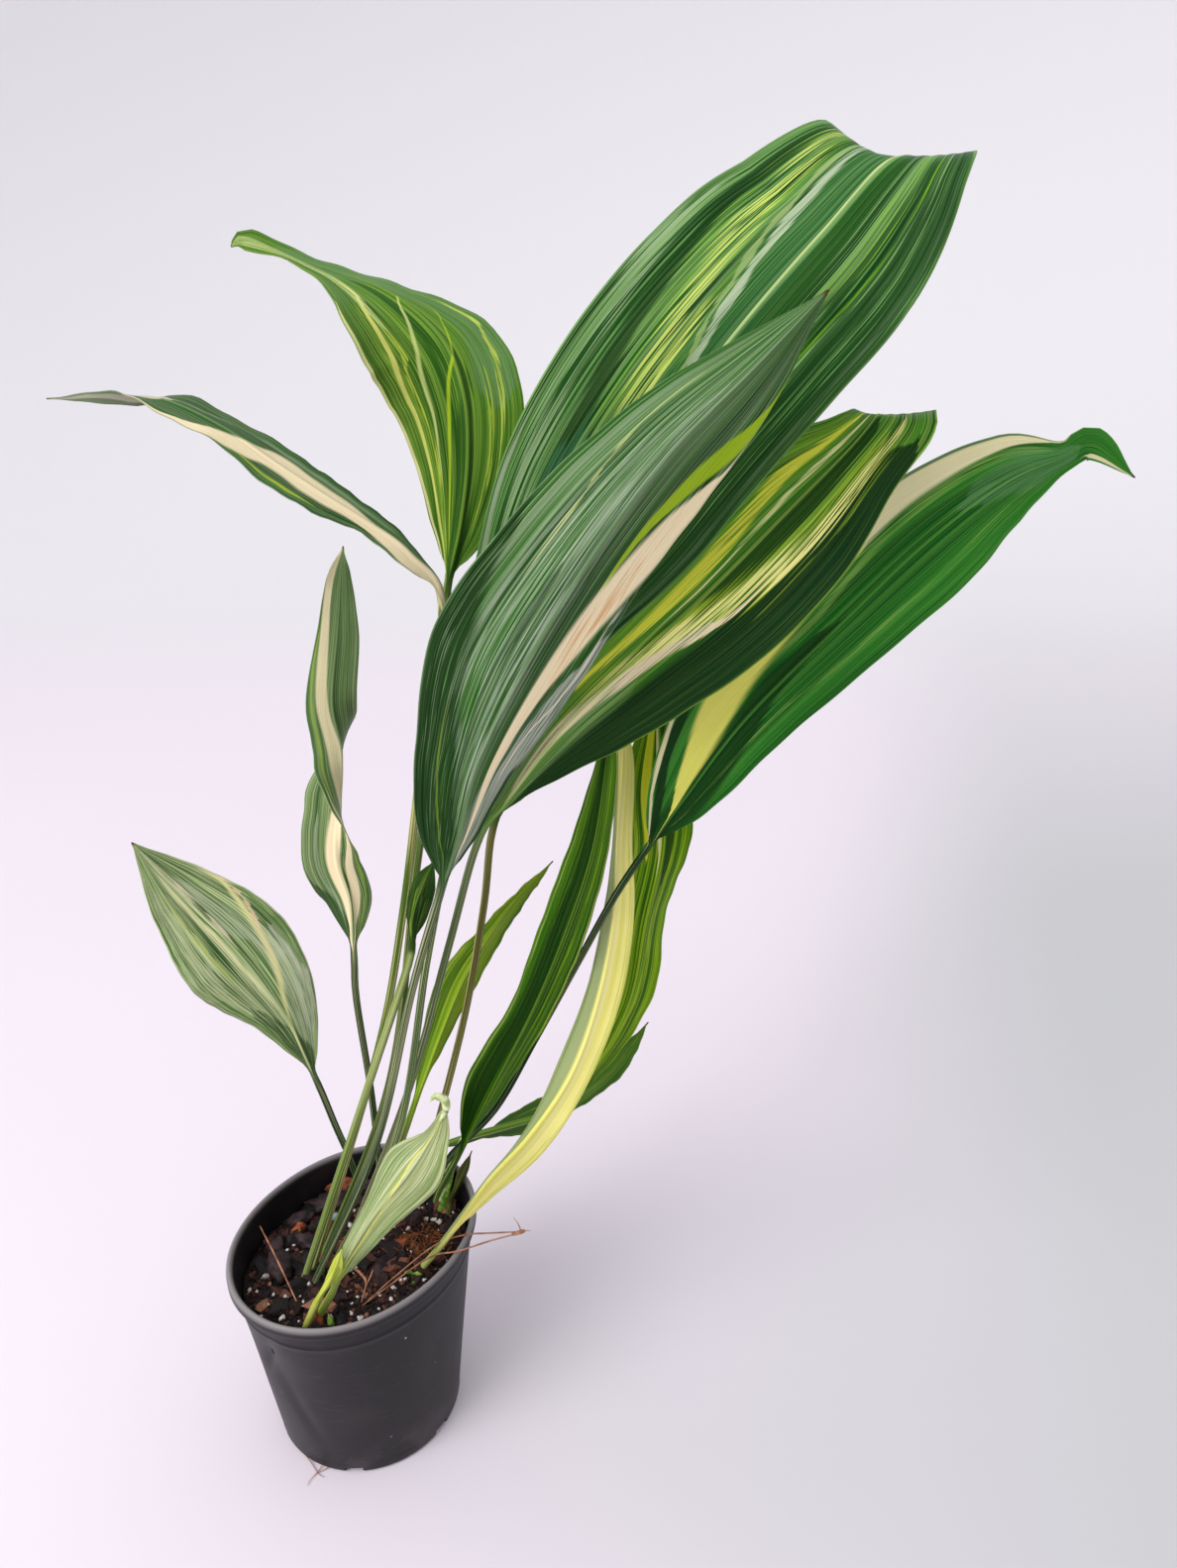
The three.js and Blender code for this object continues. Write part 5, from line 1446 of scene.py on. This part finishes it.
# %% [markdown]
# ## What has dropped on the mix
#
# A real pot is never clean. Dry pine needles have fallen on this one, a pair of them out over the lip,
# joined by a tuft at the end. There are a few big pieces of bark, bent twigs, a seedling, a patch of
# reddish fibre at the right, and root hairs that have found a way out of a drain notch. Each is a thin
# tube or a rough lump, so plain loops are enough. All but the strands of fibre, which a seeded generator
# strews, are set one by one where the photo shows them.


# %% Helpers for tubes and lumps
TUBE_STEPS = 6
TUBE_ASIDE = (0.3, 0.2, 1.0)
LUMP_SLOPE = 0.25
LUMP_COARSE = {"scale": 1.4, "depth": 0.5}
LUMP_FINE = {"scale": 4, "depth": 0.2}


def tube(rows, sides=6):
    """Points and faces of a closed tube through rows of x, y, z, radius in mm."""
    rows = np.asarray(rows, float)
    steps = TUBE_STEPS * (len(rows) - 1)
    fine = through(rows, np.linspace(0, 1, steps + 1))
    along = unit(np.gradient(fine[:, :3], axis=0))
    first = unit(np.cross(along, TUBE_ASIDE))
    second = np.cross(along, first)
    points = []
    for centre, one, two, radius in zip(fine[:, :3], first, second, fine[:, 3]):
        for j in range(sides):
            angle = 2 * math.pi * j / sides
            points.append((centre + radius * (math.cos(angle) * one + math.sin(angle) * two)) * MM)
    return points, loft_faces(steps + 1, sides)


def lump(centre, size, turn, seed, rings=9, sides=12):
    """A rough flat stone of bark: a ball squashed to size, torn by noise and turned by degrees."""
    head = math.radians(turn)
    points = []
    for i in range(1, rings):
        for j in range(sides):
            rise, angle = math.pi * i / rings, 2 * math.pi * j / sides
            level = math.sin(rise)
            out = Vector((level * math.cos(angle), level * math.sin(angle), math.cos(rise)))
            coarse = noise.noise(out * LUMP_COARSE["scale"] + Vector((seed, 0, 0)))
            fine = noise.noise(out * LUMP_FINE["scale"] + Vector((seed, 5, 0)))
            out *= 1 + LUMP_COARSE["depth"] * coarse + LUMP_FINE["depth"] * fine
            x, y, z = (out[k] * size[k] / 2 for k in range(3))
            east = centre[0] + x * math.cos(head) - y * math.sin(head)
            north = centre[1] + x * math.sin(head) + y * math.cos(head)
            points.append((east * MM, north * MM, (centre[2] + z + LUMP_SLOPE * x) * MM))
    return points, [tuple(reversed(face)) for face in loft_faces(rings - 1, sides)]


def together(parts):
    """One list of points and one of faces from several parts."""
    points, faces = [], []
    for part_points, part_faces in parts:
        start = len(points)
        points += part_points
        faces += [tuple(start + k for k in face) for face in part_faces]
    return points, faces


def plain_finish(name, first, second, scale, roughness):
    """Two colours, given as 0 to 255, in patches of 1 / scale metres with the same noise as relief."""
    material, nodes, shader = new_finish(name, roughness, 0.25)
    patch = nodes.noise(object_place(nodes), scale, 3.0)
    colour = nodes.mix(nodes.ease(patch, *PATCH_EDGE), srgb(*first), srgb(*second))
    nodes.dress(shader, colour, patch, 0.4, 0.0003)
    return material


needle_brown = plain_finish("dry_needle", (132, 84, 60), (176, 126, 96), 160.0, 0.6)
red_bark = plain_finish("red_bark", (74, 34, 20), (156, 82, 44), 150.0, 0.7)
dark_bark = plain_finish("dark_bark", (24, 16, 18), (58, 40, 42), 130.0, 0.6)
teal_grit = plain_finish("teal_grit", (70, 92, 92), (118, 138, 134), 200.0, 0.7)
seedling_green = plain_finish("seedling_green", (64, 112, 24), (132, 170, 66), 300.0, 0.45)
fibre_brown = plain_finish("dry_fibre", (70, 36, 20), (150, 92, 52), 220.0, 0.8)
pale_green = plain_finish("pale_green", (140, 168, 96), (214, 222, 172), 260.0, 0.45)
print("finishes of the small pieces are ready")

# %% Lay the needles, twigs and root hairs: x, y, z, radius
NEEDLES = {
    "needle_left": [(-70, 12, 144, 0.5), (-50, -18, 143.5, 0.65), (-30, -48, 139, 0.5)],
    "needle_under": [(12, -46, 133, 0.4), (31, -36, 142, 0.55), (54, -23, 151, 0.6),
                     (73, -23, 156.2, 0.6), (94, -20, 162, 0.55), (111, -18, 166, 0.45)],
    "needle_over": [(15, -43, 134, 0.4), (34, -30, 144, 0.55), (56, -14, 152, 0.6),
                    (75, -9, 156.2, 0.6), (94, -13, 162, 0.55), (113, -17, 167, 0.45)],
    "twig_upper": [(2, -20, 138, 0.8), (8, -28, 142, 0.9), (13, -35, 141, 0.8), (12, -47, 137, 0.5)],
    "twig_fork": [(16, -26, 143, 0.5), (15, -32, 142, 0.5), (12, -41, 139, 0.4)],
    "tuft_stalk": [(109, -18, 165.5, 0.9), (115, -17.5, 167.5, 1.4), (118, -17, 168, 0.7)],
    "tuft_spike_1": [(115, -17, 168, 0.4), (113, -15, 172, 0.3), (110, -13, 176, 0.1)],
    "tuft_spike_2": [(116, -18, 168, 0.4), (119, -19, 170, 0.3), (122, -20, 171, 0.1)],
    "root_hair_1": [(-41, -49, 4, 0.3), (-32, -57, 1.2, 0.3), (-25, -65, 0.6, 0.2),
                    (-20, -68, 0.6, 0.1)],
    "root_hair_2": [(-22, -56, 4, 0.3), (-24, -62, 0.9, 0.3), (-29, -70, 0.6, 0.2),
                    (-30, -74, 0.6, 0.1)],
    "root_hair_3": [(-12, -58, 4, 0.25), (-20, -62, 0.8, 0.25), (-27, -66, 0.6, 0.1)],
}
points, faces = together([tube(rows) for rows in NEEDLES.values()])
piece_from("needles_and_twigs", points, faces, needle_brown)
print("needles and twigs:", len(NEEDLES), "faces:", len(faces))

# %% Set the big bark and the grit: centre, size, turn, seed
BARK_PIECES = {
    "red_bark_piece": (red_bark, [
        ((-25, 57, 137), (22, 13, 8), 10, 1.0), ((27, 6, 133), (16, 7, 5), 35, 2.0),
        ((-46, 20, 133), (13, 8, 6), 60, 3.0), ((36, 12, 133), (13, 6, 5), 20, 4.0),
    ]),
    "dark_bark_piece": (dark_bark, [
        ((-33, 46, 134), (20, 15, 8), 40, 5.0), ((-24, 48, 135), (15, 14, 8), 75, 6.0),
        ((-47, 30, 134), (18, 12, 7), 20, 7.0), ((-50, -14, 135), (22, 16, 8), 120, 8.0),
        ((-58, 4, 134), (16, 12, 7), 80, 9.0), ((-36, 8, 134), (19, 11, 7), 150, 10.0),
        ((19, -18, 134), (17, 13, 8), 100, 11.0), ((34, 30, 133), (15, 12, 8), 10, 12.0),
        ((-9, 63, 134), (18, 10, 7), 0, 13.0), ((44, -24, 132), (13, 9, 6), 60, 14.0),
    ]),
    "teal_piece": (teal_grit, [((-22, 30, 135), (16, 6, 5), -8, 15.0)]),
}
for name, (finish, pieces) in BARK_PIECES.items():
    points, faces = together([lump(*piece) for piece in pieces])
    piece_from(name, points, faces, finish)
    print(name, "lumps:", len(pieces))

# %% Plant the seedling
SEEDLING = [
    [(42, -26, 134, 0.5), (42, -27, 139, 0.5), (43, -27, 141, 0.3)],
    [(43, -27, 141, 0.4), (40, -27, 142, 1.5), (37, -27, 142, 0.2)],
    [(43, -27, 141, 0.4), (46, -28, 142, 1.4), (49, -29, 142, 0.2)],
    [(45, -31, 134, 0.3), (44, -32, 138, 1.0), (44, -33, 140, 0.2)],
]
points, faces = together([tube(rows, 8) for rows in SEEDLING])
piece_from("seedling", points, faces, seedling_green)
print("seedling faces:", len(faces))

# %% Tease out the dry fibre
FIBRES = 150
FIBRE_SEED = 31
FIBRE_HOME = (45, 6, 132)
FIBRE_SPREAD = (8.5, 8)
FIBRE_LENGTH = (3, 8)
FIBRE_RISE = (1.5, 5.5)
FIBRE_END_RISE = (-1, 4)
FIBRE_LIMIT = 70


def fibre_rows(rng):
    """Rows of one arched strand, or None where it would reach the pot's wall."""
    east = rng.normal(FIBRE_HOME[0], FIBRE_SPREAD[0])
    north = rng.normal(FIBRE_HOME[1], FIBRE_SPREAD[1])
    start = np.array([east, north, FIBRE_HOME[2]])
    heading = rng.uniform(0, 2 * math.pi)
    step = np.array([math.cos(heading), math.sin(heading), 0.0]) * rng.uniform(*FIBRE_LENGTH)
    middle = start + step + [0, 0, rng.uniform(*FIBRE_RISE)]
    end = start + 2 * step
    if math.hypot(end[0], end[1]) > FIBRE_LIMIT:
        return None
    end[2] += rng.uniform(*FIBRE_END_RISE)
    return [(*start, 0.28), (*middle, 0.3), (*end, 0.12)]


rng = np.random.default_rng(FIBRE_SEED)
fibres = [fibre_rows(rng) for _ in range(FIBRES)]
fibres = [tube(rows, 3) for rows in fibres if rows]
points, faces = together(fibres)
piece_from("dry_fibre", points, faces, fibre_brown)
print("fibres:", len(fibres), "faces:", len(faces))

# %% [markdown]
# Where the young leaf comes up, last year's scale leaf has dried to a brown spike, and the next shoot
# is a green stub beside it. Damp bits of sheath cling to the feet of the stems at the right, and the
# young leaf's tip is still curled over, as it was in the bud.

# %% Add the dry scale and the shoots
SHOOTS = {
    "dry_scale": (red_bark, [(-12, -60, 131, 2.6), (-14, -56, 137, 1.8), (-16, -51, 143, 0.2)]),
    "green_shoot": (seedling_green, [(-5, -60, 130, 2.2), (-6, -59, 135, 1.9), (-7, -58, 139, 0.2)]),
    "left_shoot": (seedling_green, [(-22, -22, 130, 2.6), (-20, -17, 138, 2.2), (-17, -10, 146, 0.2)]),
    "right_sheath_1": (pale_green, [(52, 47, 129, 3.6), (56, 53, 146, 3.6), (61, 61, 161, 2.8),
                                    (67, 70, 175, 0.3)]),
    "right_sheath_2": (seedling_green, [(52, 40, 129, 3.0), (57, 43, 143, 2.4), (62, 46, 158, 0.3)]),
    "curled_tip": (pale_green, [(72, -57, 290, 0.5), (76, -55, 298, 2.3), (75, -54, 304, 2.6),
                                (70, -55, 307, 1.8), (67, -56, 304, 0.3)]),
}
for name, (finish, rows) in SHOOTS.items():
    points, faces = tube(rows, 10)
    piece_from(name, points, faces, finish)
print("shoots:", list(SHOOTS))

# %% [markdown]
# ## Close the book
#
# The rootstock is hidden in the mix, so its solid stays and only takes a fibrous brown finish.


# %% Finish the rootstock
ROOT_BROWNS = (srgb(96, 66, 42), srgb(158, 124, 84))


def root_finish():
    """Brown in patches, rough like the scales of a rootstock."""
    material, nodes, shader = new_finish("rootstock", 0.85, 0.3)
    place = object_place(nodes)
    scales = nodes.noise(place, 220.0, 4.0, 0.6)
    colour = nodes.mix(nodes.ease(scales, *PATCH_EDGE), *ROOT_BROWNS)
    nodes.dress(shader, colour, scales, 0.8, 0.001)
    return material


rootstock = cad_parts["rhizome"]
rootstock.data.materials.clear()
rootstock.data.materials.append(root_finish())
print("rootstock finished")
